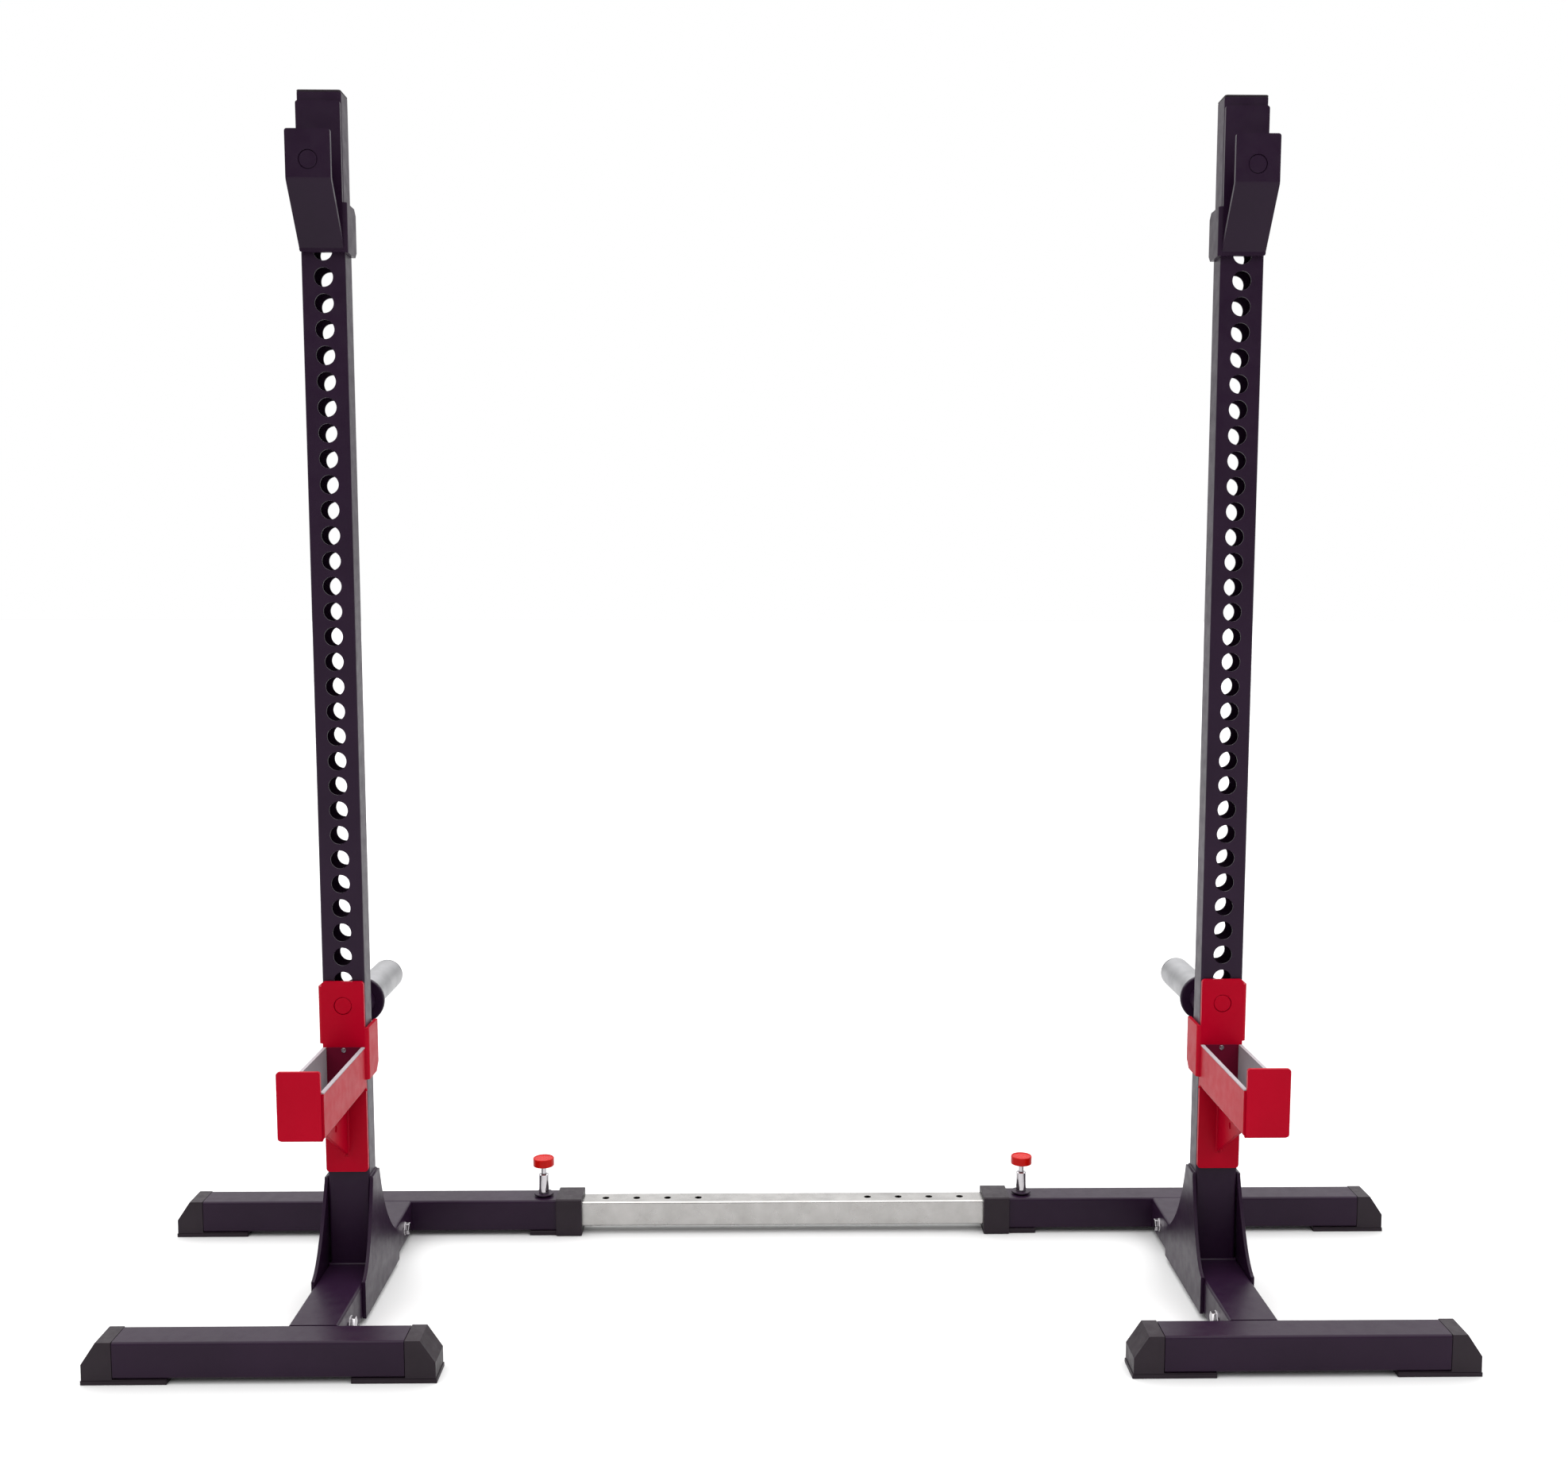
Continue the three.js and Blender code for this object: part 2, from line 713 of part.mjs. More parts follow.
function spotterArm() {
  const inside = uprightSide - armWall;
  const plateMiddle = -spotterPlate / 2;
  const channel = polygon([
    [-uprightSide, armTop],
    [-uprightSide, armBottom],
    [uprightSide, armBottom],
    [uprightSide, armTop],
    [inside, armTop],
    [inside, armBottom + armWall],
    [-inside, armBottom + armWall],
    [-inside, armTop],
  ]);
  const web = polygon([
    [-webReach, armBottom + armWall / 2],
    [-webReach, armBottom],
    [-spotterPlate, armBottom - webDrop],
    [plateMiddle, armBottom - webDrop],
    [plateMiddle, armBottom + armWall / 2],
  ]);
  const back = plateOutline(-uprightSide, uprightSide, spotterBottom, spotterTop, spotterCorner);
  const frontInner = frontPlateInset - uprightSide;
  const frontPlate = plateOutline(frontInner, uprightSide, armBottom, frontPlateTop, frontPlateCorner);
  const webHole = rodX(webHoleRadius, -cutOverrun, cutOverrun, -webHoleReach, armBottom - webHoleDrop);
  const earPlate = [spotterEarReach, spotterPlate, spotterEarChamfer, 0];
  return prismY(back, -spotterPlate, 0)
    .add(prismY(channel, -armReach, plateMiddle))
    .add(prismY(frontPlate, -armReach - frontPlateThickness, -armReach))
    .add(prismX(web, -webThickness / 2, webThickness / 2).subtract(webHole))
    .add(ear(-1, spotterInnerEarBottom, spotterInnerEarTop, ...earPlate))
    .add(ear(1, spotterOuterEarBottom, spotterOuterEarTop, ...earPlate))
    .subtract(rodY(holderHoleRadius, -spotterPlate - cutOverrun, cutOverrun, 0, 0));
}

// The liner lines the channel and folds over the tops of its walls, where a bar lands
function spotterLiner() {
  const outside = uprightSide - armWall - fitGap;
  const inside = outside - linerWall;
  const floor = armBottom + armWall;
  const outline = polygon([
    [-uprightSide, armTop + linerWall],
    [-uprightSide, armTop],
    [-outside, armTop],
    [-outside, floor],
    [outside, floor],
    [outside, armTop],
    [uprightSide, armTop],
    [uprightSide, armTop + linerWall],
    [inside, armTop + linerWall],
    [inside, floor + linerWall],
    [-inside, floor + linerWall],
    [-inside, armTop + linerWall],
  ]);
  return prismY(outline, linerEndGap - armReach, -spotterPlate - linerEndGap);
}

// Assembly

function mirrored(geometry) {
  const flipped = geometry.clone().scale(-1, 1, 1);
  const corners = flipped.index.array;
  for (let i = 0; i < corners.length; i += 3) {
    [corners[i], corners[i + 1]] = [corners[i + 1], corners[i]];
  }
  return flipped;
}

function buildStand(sideName, side) {
  const stand = new THREE.Group();
  stand.position.x = side * uprightSpacing / 2;

  const group = (x, y, z) => {
    const place = new THREE.Group();
    place.position.set(side * x, y, z);
    stand.add(place);
    return place;
  };
  const add = (parent, name, solid, material, x = 0, y = 0, z = 0) => {
    const geometry = geometryOf(solid);
    const mesh = new THREE.Mesh(side > 0 ? geometry : mirrored(geometry), material);
    mesh.name = `${sideName}_${name}`;
    mesh.position.set(side * x, y, z);
    parent.add(mesh);
    return mesh;
  };

  const column = group(0, uprightDepth / 2, 0);
  add(column, 'upright', upright(), paint(blackPaint));
  add(column, 'upright_cap', uprightCap(), plastic(blackPlastic), 0, 0, uprightTop);

  const skid = group(0, 0, baseMiddle);
  const topOfTube = baseTube / 2;
  add(skid, 'runner', runner(), paint(blackPaint));
  add(skid, 'outer_gusset', gusset(), paint(blackPaint), uprightSide, 0, topOfTube);
  add(skid, 'inner_gusset', gusset(), paint(blackPaint), -uprightSide - gussetThickness, 0, topOfTube);
  const boltPlaces = { front: runnerFront + frontBoltInset, rear: runnerRear - rearBoltInset };
  for (const [end, place] of Object.entries(boltPlaces)) {
    add(skid, `${end}_bolt`, bolt(), metal(chrome), 0, place);
    add(skid, `${end}_nut`, domedNut(), metal(chrome), -uprightSide, place).rotation.z = Math.PI;
  }

  const foot = group(0, footMiddle, baseMiddle);
  add(foot, 'front_foot', frontFoot(), paint(blackPaint));
  add(foot, 'front_outer_cap', footCap(), plastic(blackPlastic), footOuterReach);
  add(foot, 'front_inner_cap', footCap(), plastic(blackPlastic), -footInnerReach).rotation.z = Math.PI;

  const beam = group(0, beamMiddle, baseMiddle);
  add(beam, 'rear_beam', rearBeam(), paint(blackPaint));
  add(beam, 'rear_cap', footCap(), plastic(blackPlastic), beamOuterReach);
  add(beam, 'collar', collar(), plastic(blackPlastic), -beamInnerReach);

  const popPin = group(-popPinInset, beamMiddle, baseTop);
  add(popPin, 'pin_barrel', pinBarrel(), metal(chrome));
  add(popPin, 'pin_rod', pinRod(), metal(chrome));
  add(popPin, 'pin_knob', pinKnob(), plastic(redPlastic));
  add(popPin, 'pin_spring', pinSpring(), metal(springSteel));

  const peg = group(0, uprightDepth, pegHeight);
  add(peg, 'peg_post', pegPost(), paint(blackPaint));
  add(peg, 'peg_sleeve', pegSleeve(), metal(zinc));
  add(peg, 'peg_cap', pegCap(), plastic(blackPlastic));

  const hook = group(0, 0, hookHeight);
  add(hook, 'j_hook', jHook(), paint(blackPaint));
  add(hook, 'hook_pin', holderPin(-hookLipReach), paint(blackPaint));
  add(hook, 'hook_sleeve', hookSleeve(), plastic(blackPlastic));

  const spotter = group(0, 0, spotterHeight);
  add(spotter, 'spotter_arm', spotterArm(), paint(redPaint));
  add(spotter, 'spotter_liner', spotterLiner(), plastic(greyPlastic));
  add(spotter, 'spotter_pin', holderPin(-spotterPlate), paint(redPaint));
  return stand;
}

function buildCrossTube() {
  const tube = new THREE.Group();
  tube.position.set(0, beamMiddle, baseMiddle);
  const body = new THREE.Mesh(geometryOf(crossTubeSolid()), metal(zinc));
  body.name = 'cross_tube';
  tube.add(body);
  const plug = geometryOf(glidePlug());
  const ends = { left_glide_plug: -1, right_glide_plug: 1 };
  for (const [name, side] of Object.entries(ends)) {
    const mesh = new THREE.Mesh(side > 0 ? plug : mirrored(plug), plastic(blackPlastic));
    mesh.name = name;
    mesh.position.x = side * crossLength / 2;
    tube.add(mesh);
  }
  return tube;
}

const wholeStand = new THREE.Group();
wholeStand.position.y = -(frontmost + rearmost) / 2;
wholeStand.add(buildStand('left', -1), buildStand('right', 1), buildCrossTube());

const squatStand = new THREE.Group();
squatStand.add(wholeStand);

export default squatStand;
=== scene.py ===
import json
import math

import bmesh
import bpy
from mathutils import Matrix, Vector

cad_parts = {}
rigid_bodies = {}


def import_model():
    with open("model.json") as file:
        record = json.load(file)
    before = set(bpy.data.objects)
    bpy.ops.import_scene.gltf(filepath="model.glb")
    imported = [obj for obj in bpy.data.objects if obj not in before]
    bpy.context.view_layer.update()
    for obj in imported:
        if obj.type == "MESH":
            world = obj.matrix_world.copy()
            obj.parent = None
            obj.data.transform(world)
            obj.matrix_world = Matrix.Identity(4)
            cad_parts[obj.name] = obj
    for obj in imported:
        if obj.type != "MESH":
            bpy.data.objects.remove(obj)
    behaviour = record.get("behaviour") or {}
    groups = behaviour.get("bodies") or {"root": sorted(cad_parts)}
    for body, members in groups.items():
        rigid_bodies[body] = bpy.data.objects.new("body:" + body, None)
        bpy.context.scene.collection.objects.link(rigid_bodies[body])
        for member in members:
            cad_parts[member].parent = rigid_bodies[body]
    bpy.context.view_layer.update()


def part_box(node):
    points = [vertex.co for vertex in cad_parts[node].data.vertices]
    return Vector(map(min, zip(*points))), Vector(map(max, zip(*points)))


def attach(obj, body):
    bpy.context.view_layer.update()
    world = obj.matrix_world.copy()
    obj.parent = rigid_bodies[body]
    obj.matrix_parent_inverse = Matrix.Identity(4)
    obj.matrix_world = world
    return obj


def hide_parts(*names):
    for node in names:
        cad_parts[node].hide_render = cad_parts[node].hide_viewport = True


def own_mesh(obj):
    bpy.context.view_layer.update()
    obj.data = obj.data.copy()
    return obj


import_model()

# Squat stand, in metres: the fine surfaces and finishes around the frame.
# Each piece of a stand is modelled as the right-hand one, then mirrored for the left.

# Smoothness of round shapes and rounded edges
ROUND_STEPS = 48
SMALL_STEPS = 28
HOLE_STEPS = 32
WIRE_STEPS = 8
CORNER_STEPS = 5
SKIRT_STEPS = 4
CURVE_STEPS = 14
EDGE_STEPS = 3
HEX_SIDES = 6
SMOOTH_ANGLE = math.radians(32)
EDGE_ANGLE = math.radians(38)
LOW_EDGE_ANGLE = math.radians(20)
PARALLEL_SHARE = 0.99
NORMAL_WEIGHT = 100

# Doubles that are merged, gaps between fitted pieces, and how far a cutter runs past its piece
WELD_DISTANCE = 0.000001
FIT_GAP = 0.0003
OVERRUN = 0.01

# Tubes
BASE_TUBE = 0.05
TUBE_CORNER = 0.004
TUBE_WALL = 0.0025
STUB_WALL = 0.003
CUT_EDGE = 0.0005
TUBE_LIFT = 0.008
RUNNER_SWELL = 0.0033
LID_EDGE = 0.0012

# The upright's row of holes
HOLE_RADIUS = 0.013
HOLE_PITCH = 0.035
HOLE_COUNT = 42
LOWEST_HOLE = 0.233

# The cross tube's holes
CROSS_CORNER = 0.003
CROSS_WALL = 0.002
CROSS_TUBE = 0.040
CROSS_HOLE_RADIUS = 0.0055
CROSS_HOLE_PITCH = 0.05
CROSS_HOLE_COUNT = 6
CROSS_END_MARGIN = 0.0425

# Bolts and closed hexagon nuts
BOLT_RADIUS = 0.005
HEAD_RADIUS = 0.0095
HEAD_HEIGHT = 0.0065
WASHER_RADIUS = 0.0108
WASHER_HEIGHT = 0.0014
WASHER_EDGE = 0.0004
NUT_HEIGHT = 0.008
NUT_BORE_DEPTH = 0.0066
HEX_EDGE = 0.0006

# Weld beads
BEAD_RADIUS = 0.0022
FOOT_BEAD_RADIUS = 0.0032
BEAD_VOXEL = 0.0006
RIPPLE_PITCH = 0.0017
RIPPLE_SEGMENTS = 10
RIPPLE_RINGS = 6


# Selecting, editing and applying

def deselect_all():
    bpy.ops.object.select_all(action="DESELECT")


def make_active(piece):
    deselect_all()
    piece.select_set(True)
    bpy.context.view_layer.objects.active = piece


def start_editing(piece, mode):
    make_active(piece)
    bpy.ops.object.mode_set(mode="EDIT")
    bpy.ops.mesh.select_mode(type=mode)
    bpy.ops.mesh.select_all(action="DESELECT")


def stop_editing():
    bpy.ops.object.mode_set(mode="OBJECT")


def pick_parts(piece, kind, wanted):
    """Selects those of a mesh's verts, edges or faces that are wanted."""
    mesh = bmesh.from_edit_mesh(piece.data)
    for part in getattr(mesh, kind):
        part.select = wanted(part)
    mesh.select_flush_mode()
    bmesh.update_edit_mesh(piece.data)


def apply_modifier(piece, kind, **settings):
    make_active(piece)
    modifier = piece.modifiers.new(kind.lower(), kind)
    for key, value in settings.items():
        setattr(modifier, key, value)
    bpy.ops.object.modifier_apply(modifier=modifier.name)


def put_in_place(piece):
    make_active(piece)
    bpy.ops.object.transform_apply(location=True, rotation=True, scale=True)
    return piece


def moved(piece, place):
    piece.location = place
    return put_in_place(piece)


def clean_mesh(piece):
    start_editing(piece, "VERT")
    bpy.ops.mesh.select_all(action="SELECT")
    bpy.ops.mesh.remove_doubles(threshold=WELD_DISTANCE)
    bpy.ops.mesh.normals_make_consistent(inside=False)
    stop_editing()


def soften_edges(piece, width, steps=2, angle=EDGE_ANGLE):
    apply_modifier(
        piece, "BEVEL", limit_method="ANGLE", angle_limit=angle, width=width,
        segments=steps, use_clamp_overlap=True, miter_outer="MITER_ARC",
    )


def smooth(piece):
    make_active(piece)
    bpy.ops.object.shade_smooth_by_angle(angle=SMOOTH_ANGLE)
    apply_modifier(piece, "WEIGHTED_NORMAL", keep_sharp=True, weight=NORMAL_WEIGHT)


def cut_away(piece, cutter):
    apply_modifier(piece, "BOOLEAN", operation="DIFFERENCE", solver="EXACT", object=cutter)
    bpy.data.objects.remove(cutter)


def join_solids(piece, other):
    apply_modifier(piece, "BOOLEAN", operation="UNION", solver="EXACT", object=other, use_self=True)
    bpy.data.objects.remove(other)


# Basic forms

def block(name, low, high):
    deselect_all()
    bpy.ops.mesh.primitive_cube_add(size=1, location=(Vector(low) + Vector(high)) / 2)
    piece = bpy.context.object
    piece.name = name
    piece.scale = Vector(high) - Vector(low)
    return put_in_place(piece)


TURNS = {"x": (0, math.pi / 2, 0), "y": (-math.pi / 2, 0, 0), "z": (0, 0, 0)}


def rod(name, axis, radius, start, end, steps=ROUND_STEPS):
    deselect_all()
    start = Vector(start)
    end = Vector(end)
    bpy.ops.mesh.primitive_cylinder_add(
        vertices=steps, radius=radius, depth=(end - start).length,
        location=(start + end) / 2, rotation=TURNS[axis],
    )
    piece = bpy.context.object
    piece.name = name
    return put_in_place(piece)


def round_corners(piece, axis, radius, wanted=lambda middle: True, steps=CORNER_STEPS):
    """Rounds the edges that run along an axis, where their middle is wanted. One step is a chamfer."""
    along = "xyz".index(axis)

    def is_corner(edge):
        start, end = [corner.co for corner in edge.verts]
        run = end - start
        return abs(run[along]) > PARALLEL_SHARE * run.length and wanted((start + end) / 2)

    start_editing(piece, "EDGE")
    pick_parts(piece, "edges", is_corner)
    bpy.ops.mesh.bevel(offset=radius, segments=steps, affect="EDGES", clamp_overlap=True)
    stop_editing()


def rounded_plate(name, low, high, axis, corner):
    piece = block(name, low, high)
    round_corners(piece, axis, corner)
    return piece


def hollow_tube(name, low, high, axis, corner, wall):
    """A tube with rounded corners along one axis, open at both ends."""
    piece = rounded_plate(name, low, high, axis, corner)
    along = "xyz".index(axis)
    start_editing(piece, "FACE")
    pick_parts(piece, "faces", lambda face: abs(face.normal[along]) > PARALLEL_SHARE)
    bpy.ops.mesh.inset(thickness=wall, depth=0)
    bpy.ops.mesh.bridge_edge_loops()
    stop_editing()
    return piece


def chain(name, points):
    """A plane drawn in to one point and out along the others, left selected in edit mode."""
    deselect_all()
    bpy.ops.mesh.primitive_plane_add(size=1)
    piece = bpy.context.object
    piece.name = name
    start_editing(piece, "VERT")
    bpy.ops.mesh.select_all(action="SELECT")
    bpy.ops.mesh.merge(type="CENTER")
    bpy.ops.transform.translate(value=points[0])
    for before, after in zip(points, points[1:]):
        bpy.ops.mesh.extrude_region_move(TRANSFORM_OT_translate={"value": after - before})
    bpy.ops.mesh.select_all(action="SELECT")
    return piece


def turned(name, axis, place, profile, steps=ROUND_STEPS):
    """A closed profile of (radius, distance along the axis) points, spun about the axis."""
    piece = chain(name, [Vector((radius, 0, along)) for radius, along in profile])
    bpy.ops.mesh.spin(steps=steps, angle=2 * math.pi, center=(0, 0, 0), axis=(0, 0, 1))
    stop_editing()
    piece.rotation_euler = TURNS[axis]
    piece.location = place
    put_in_place(piece)
    clean_mesh(piece)
    return piece


def mirrored(piece, name):
    twin = piece.copy()
    twin.data = piece.data.copy()
    twin.name = name
    bpy.context.scene.collection.objects.link(twin)
    twin.scale = (-1, 1, 1)
    put_in_place(twin)
    clean_mesh(twin)
    return twin


def finish(piece, material, body, nodes):
    piece.data.materials.clear()
    piece.data.materials.append(material)
    smooth(piece)
    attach(piece, body)
    if nodes:
        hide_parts(*nodes)


def finish_pair(piece, name, material, body, nodes):
    """The right-hand piece and its mirrored twin, each on its own side's body."""
    clean_mesh(piece)
    piece.name = f"right_{name}"
    twin = mirrored(piece, f"left_{name}")
    for side, one in (("right", piece), ("left", twin)):
        finish(one, material, f"{side}_{body}", [f"{side}_{node}" for node in nodes])


# Finishes: depths of relief, swings of roughness, stretched patterns, and most noise's values
PEEL_DEPTH = 0.0002
FINE_PEEL_DEPTH = 0.00008
GRAIN_DEPTH = 0.00025
DRAWN_LINE_DEPTH = 0.0001
TURNING_MARK_DEPTH = 0.00003
KNOB_RIPPLE_DEPTH = 0.00012
COAT_SWING = 0.05
PLASTIC_SWING = 0.06
ZINC_SWING = 0.1
CHROME_SWING = (-0.03, 0.05)
KNOB_ROUGHNESS = (0.2, 0.34)
DRAWN_STRETCH = (6, 900, 900)
TURNED_STRETCH = (60, 60, 2500)
NOISE_SPAN = (0.3, 0.7)


def map_range(tree, value, start, end, low, high):
    """A node that maps a value from between start and end to between low and high."""
    node = tree.nodes.new("ShaderNodeMapRange")
    for socket, number in (("From Min", start), ("From Max", end), ("To Min", low), ("To Max", high)):
        node.inputs[socket].default_value = number
    tree.links.new(value, node.inputs["Value"])
    return node


class Shader:
    """Adds nodes to one material, with every pattern on Object coordinates."""

    def __init__(self, name, **sockets):
        self.material = bpy.data.materials.new(name)
        self.material.use_nodes = True
        self.nodes = self.material.node_tree.nodes
        self.links = self.material.node_tree.links
        self.surface = self.nodes["Principled BSDF"]
        self.place = self.nodes.new("ShaderNodeTexCoord").outputs["Object"]
        for socket, value in sockets.items():
            self.surface.inputs[socket.replace("_", " ")].default_value = value

    def stretched(self, scale):
        mapping = self.nodes.new("ShaderNodeMapping")
        mapping.inputs["Scale"].default_value = scale
        self.links.new(self.place, mapping.inputs["Vector"])
        return mapping.outputs["Vector"]

    def noise(self, scale, detail=2, roughness=0.5, place=None):
        node = self.nodes.new("ShaderNodeTexNoise")
        node.inputs["Scale"].default_value = scale
        node.inputs["Detail"].default_value = detail
        node.inputs["Roughness"].default_value = roughness
        self.links.new(place or self.place, node.inputs["Vector"])
        return node.outputs["Fac"]

    def relief(self, height, distance, strength, below=None):
        node = self.nodes.new("ShaderNodeBump")
        node.inputs["Distance"].default_value = distance
        node.inputs["Strength"].default_value = strength
        self.links.new(height, node.inputs["Height"])
        if below:
            self.links.new(below, node.inputs["Normal"])
        return node.outputs["Normal"]

    def feed(self, socket, value):
        self.links.new(value, self.surface.inputs[socket])

    def clouds(self, low, high, **pattern):
        """Noise with its usual values mapped to low to high."""
        node = map_range(self.material.node_tree, self.noise(**pattern), *NOISE_SPAN, low, high)
        return node.outputs["Result"]

    def tint(self, colour, deeper, **pattern):
        """The base colour, clouded with a deeper one."""
        node = self.nodes.new("ShaderNodeMix")
        node.data_type = "RGBA"
        node.inputs["A"].default_value = (*deeper, 1)
        node.inputs["B"].default_value = (*colour, 1)
        self.links.new(self.clouds(0, 1, **pattern), node.inputs["Factor"])
        self.feed("Base Color", node.outputs["Result"])

    def roughen(self, low, high, **pattern):
        self.feed("Roughness", self.clouds(low, high, **pattern))


def powder_coat(name, colour, deeper, roughness, specular):
    """Satin powder coat: fine orange peel and faint clouding."""
    coat = Shader(name, Specular_IOR_Level=specular)
    coat.tint(colour, deeper, scale=9, detail=3)
    coat.roughen(roughness - COAT_SWING, roughness + COAT_SWING, scale=60, detail=3)
    peel = coat.relief(coat.noise(scale=700), PEEL_DEPTH, strength=0.2)
    fine_peel = coat.noise(scale=2600, detail=1)
    coat.feed("Normal", coat.relief(fine_peel, FINE_PEEL_DEPTH, strength=0.2, below=peel))
    return coat.material


def moulded_plastic(name, colour, deeper, roughness, specular):
    """Moulded plastic with a fine spark-eroded grain."""
    plastic = Shader(name, Specular_IOR_Level=specular)
    plastic.tint(colour, deeper, scale=14)
    plastic.roughen(roughness - PLASTIC_SWING, roughness + PLASTIC_SWING, scale=90)
    grain = plastic.noise(scale=1500, detail=3, roughness=0.6)
    plastic.feed("Normal", plastic.relief(grain, GRAIN_DEPTH, strength=0.5))
    return plastic.material


def zinc_plate(name, colour, deeper, roughness):
    """Zinc plate on drawn steel: soft mottling, and fine lines along the tube."""
    zinc = Shader(name, Metallic=1)
    zinc.tint(colour, deeper, scale=45, detail=4, roughness=0.6)
    zinc.roughen(roughness - ZINC_SWING, roughness + ZINC_SWING, scale=25, detail=3)
    lines = zinc.noise(scale=1, detail=3, roughness=0.6, place=zinc.stretched(DRAWN_STRETCH))
    zinc.feed("Normal", zinc.relief(lines, DRAWN_LINE_DEPTH, strength=0.25))
    return zinc.material


def bright_chrome(name, colour, roughness):
    """Bright plating with faint turning marks."""
    plating = Shader(name, Metallic=1, Base_Color=(*colour, 1))
    plating.roughen(*[roughness + swing for swing in CHROME_SWING], scale=160, detail=3)
    rings = plating.noise(scale=1, place=plating.stretched(TURNED_STRETCH))
    plating.feed("Normal", plating.relief(rings, TURNING_MARK_DEPTH, strength=0.2))
    return plating.material


def gloss_red_plastic(name, colour, deeper):
    knob = Shader(name, Specular_IOR_Level=0.08, Coat_Weight=0.08, Coat_Roughness=0.1)
    knob.tint(colour, deeper, scale=80)
    knob.roughen(*KNOB_ROUGHNESS, scale=220)
    knob.feed("Normal", knob.relief(knob.noise(scale=500), KNOB_RIPPLE_DEPTH, strength=0.25))
    return knob.material


black_paint = powder_coat(
    "black_powder_coat", (0.0150, 0.0052, 0.0175), (0.0118, 0.004, 0.0138),
    roughness=0.34, specular=0.15,
)
red_paint = powder_coat(
    "red_powder_coat", (0.342, 0.0, 0.012), (0.302, 0.0, 0.010),
    roughness=0.36, specular=0.055,
)
black_plastic = moulded_plastic(
    "black_plastic", (0.017, 0.011, 0.016), (0.013, 0.008, 0.012),
    roughness=0.45, specular=0.18,
)
liner_plastic = moulded_plastic(
    "liner_plastic", (0.34, 0.31, 0.33), (0.28, 0.25, 0.27),
    roughness=0.5, specular=0.3,
)
# Near-black maroon sheet colour: painted shade for the shaded back inside the spotter's channel
channel_shade_plastic = moulded_plastic(
    "channel_shade_plastic", (0.11, 0.002, 0.016), (0.09, 0.001, 0.013),
    roughness=0.6, specular=0.1,
)
silver_zinc = zinc_plate("silver_zinc", (0.41, 0.40, 0.39), (0.35, 0.34, 0.33), roughness=0.27)
peg_steel = zinc_plate("peg_steel", (0.33, 0.33, 0.34), (0.28, 0.28, 0.29), roughness=0.42)
chrome = bright_chrome("bright_chrome", (0.50, 0.48, 0.50), roughness=0.12)
spring_wire = bright_chrome("spring_wire", (0.35, 0.35, 0.37), roughness=0.3)
knob_red = gloss_red_plastic("knob_red", (0.41, 0.004, 0.002), (0.34, 0.002, 0.001))


# Upright

def build_upright():
    low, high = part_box("right_upright")
    middle = (low + high) / 2
    tube = hollow_tube("upright_tube", low, high, "z", TUBE_CORNER, TUBE_WALL)
    drills = rod(
        "drills", "y", HOLE_RADIUS,
        (middle.x, low.y - OVERRUN, LOWEST_HOLE), (middle.x, high.y + OVERRUN, LOWEST_HOLE), HOLE_STEPS,
    )
    apply_modifier(
        drills, "ARRAY", count=HOLE_COUNT, use_relative_offset=False,
        use_constant_offset=True, constant_offset_displace=(0, 0, HOLE_PITCH),
    )
    cut_away(tube, drills)
    soften_edges(tube, CUT_EDGE)
    finish_pair(tube, "upright_tube", black_paint, "stand", ["upright"])


# Flat and bent plates

def arc(centre, radius, start, end, steps):
    """Points round a centre, from one angle to another in degrees."""
    angles = [math.radians(start + (end - start) * step / steps) for step in range(steps + 1)]
    return [
        (centre[0] + radius * math.cos(angle), centre[1] + radius * math.sin(angle))
        for angle in angles
    ]


def near_rim(radius, along, edge, steps=CORNER_STEPS):
    """A turned piece's rounded rim, where its profile comes out to a radius."""
    return arc((radius - edge, along + edge), edge, -90, 0, steps)


def far_rim(radius, along, edge, steps=CORNER_STEPS):
    """A turned piece's rounded rim, where its profile goes back in from a radius."""
    return arc((radius - edge, along - edge), edge, 0, 90, steps)


def curve(start, bend, end, steps=CURVE_STEPS):
    """Points on a quadratic curve that leans towards its bend point."""
    shares = [step / steps for step in range(steps + 1)]
    return [
        tuple(
            (1 - share) ** 2 * a + 2 * share * (1 - share) * b + share ** 2 * c
            for a, b, c in zip(start, bend, end)
        )
        for share in shares
    ]


def flipped(points):
    """The points turned over to the other side of the middle, last one first."""
    return [(-across, along) for across, along in reversed(points)]


def placed(axis, point, along):
    across, up = point
    return Vector({"x": (along, across, up), "y": (across, along, up), "z": (across, up, along)}[axis])


def plate(name, axis, outline, start, end):
    """An outline drawn as points across an axis, given its thickness along it."""
    piece = chain(name, [placed(axis, point, start) for point in outline])
    bpy.ops.mesh.edge_face_add()
    thickness = placed(axis, (0, 0), end - start)
    bpy.ops.mesh.extrude_region_move(TRANSFORM_OT_translate={"value": thickness})
    stop_editing()
    clean_mesh(piece)
    return piece


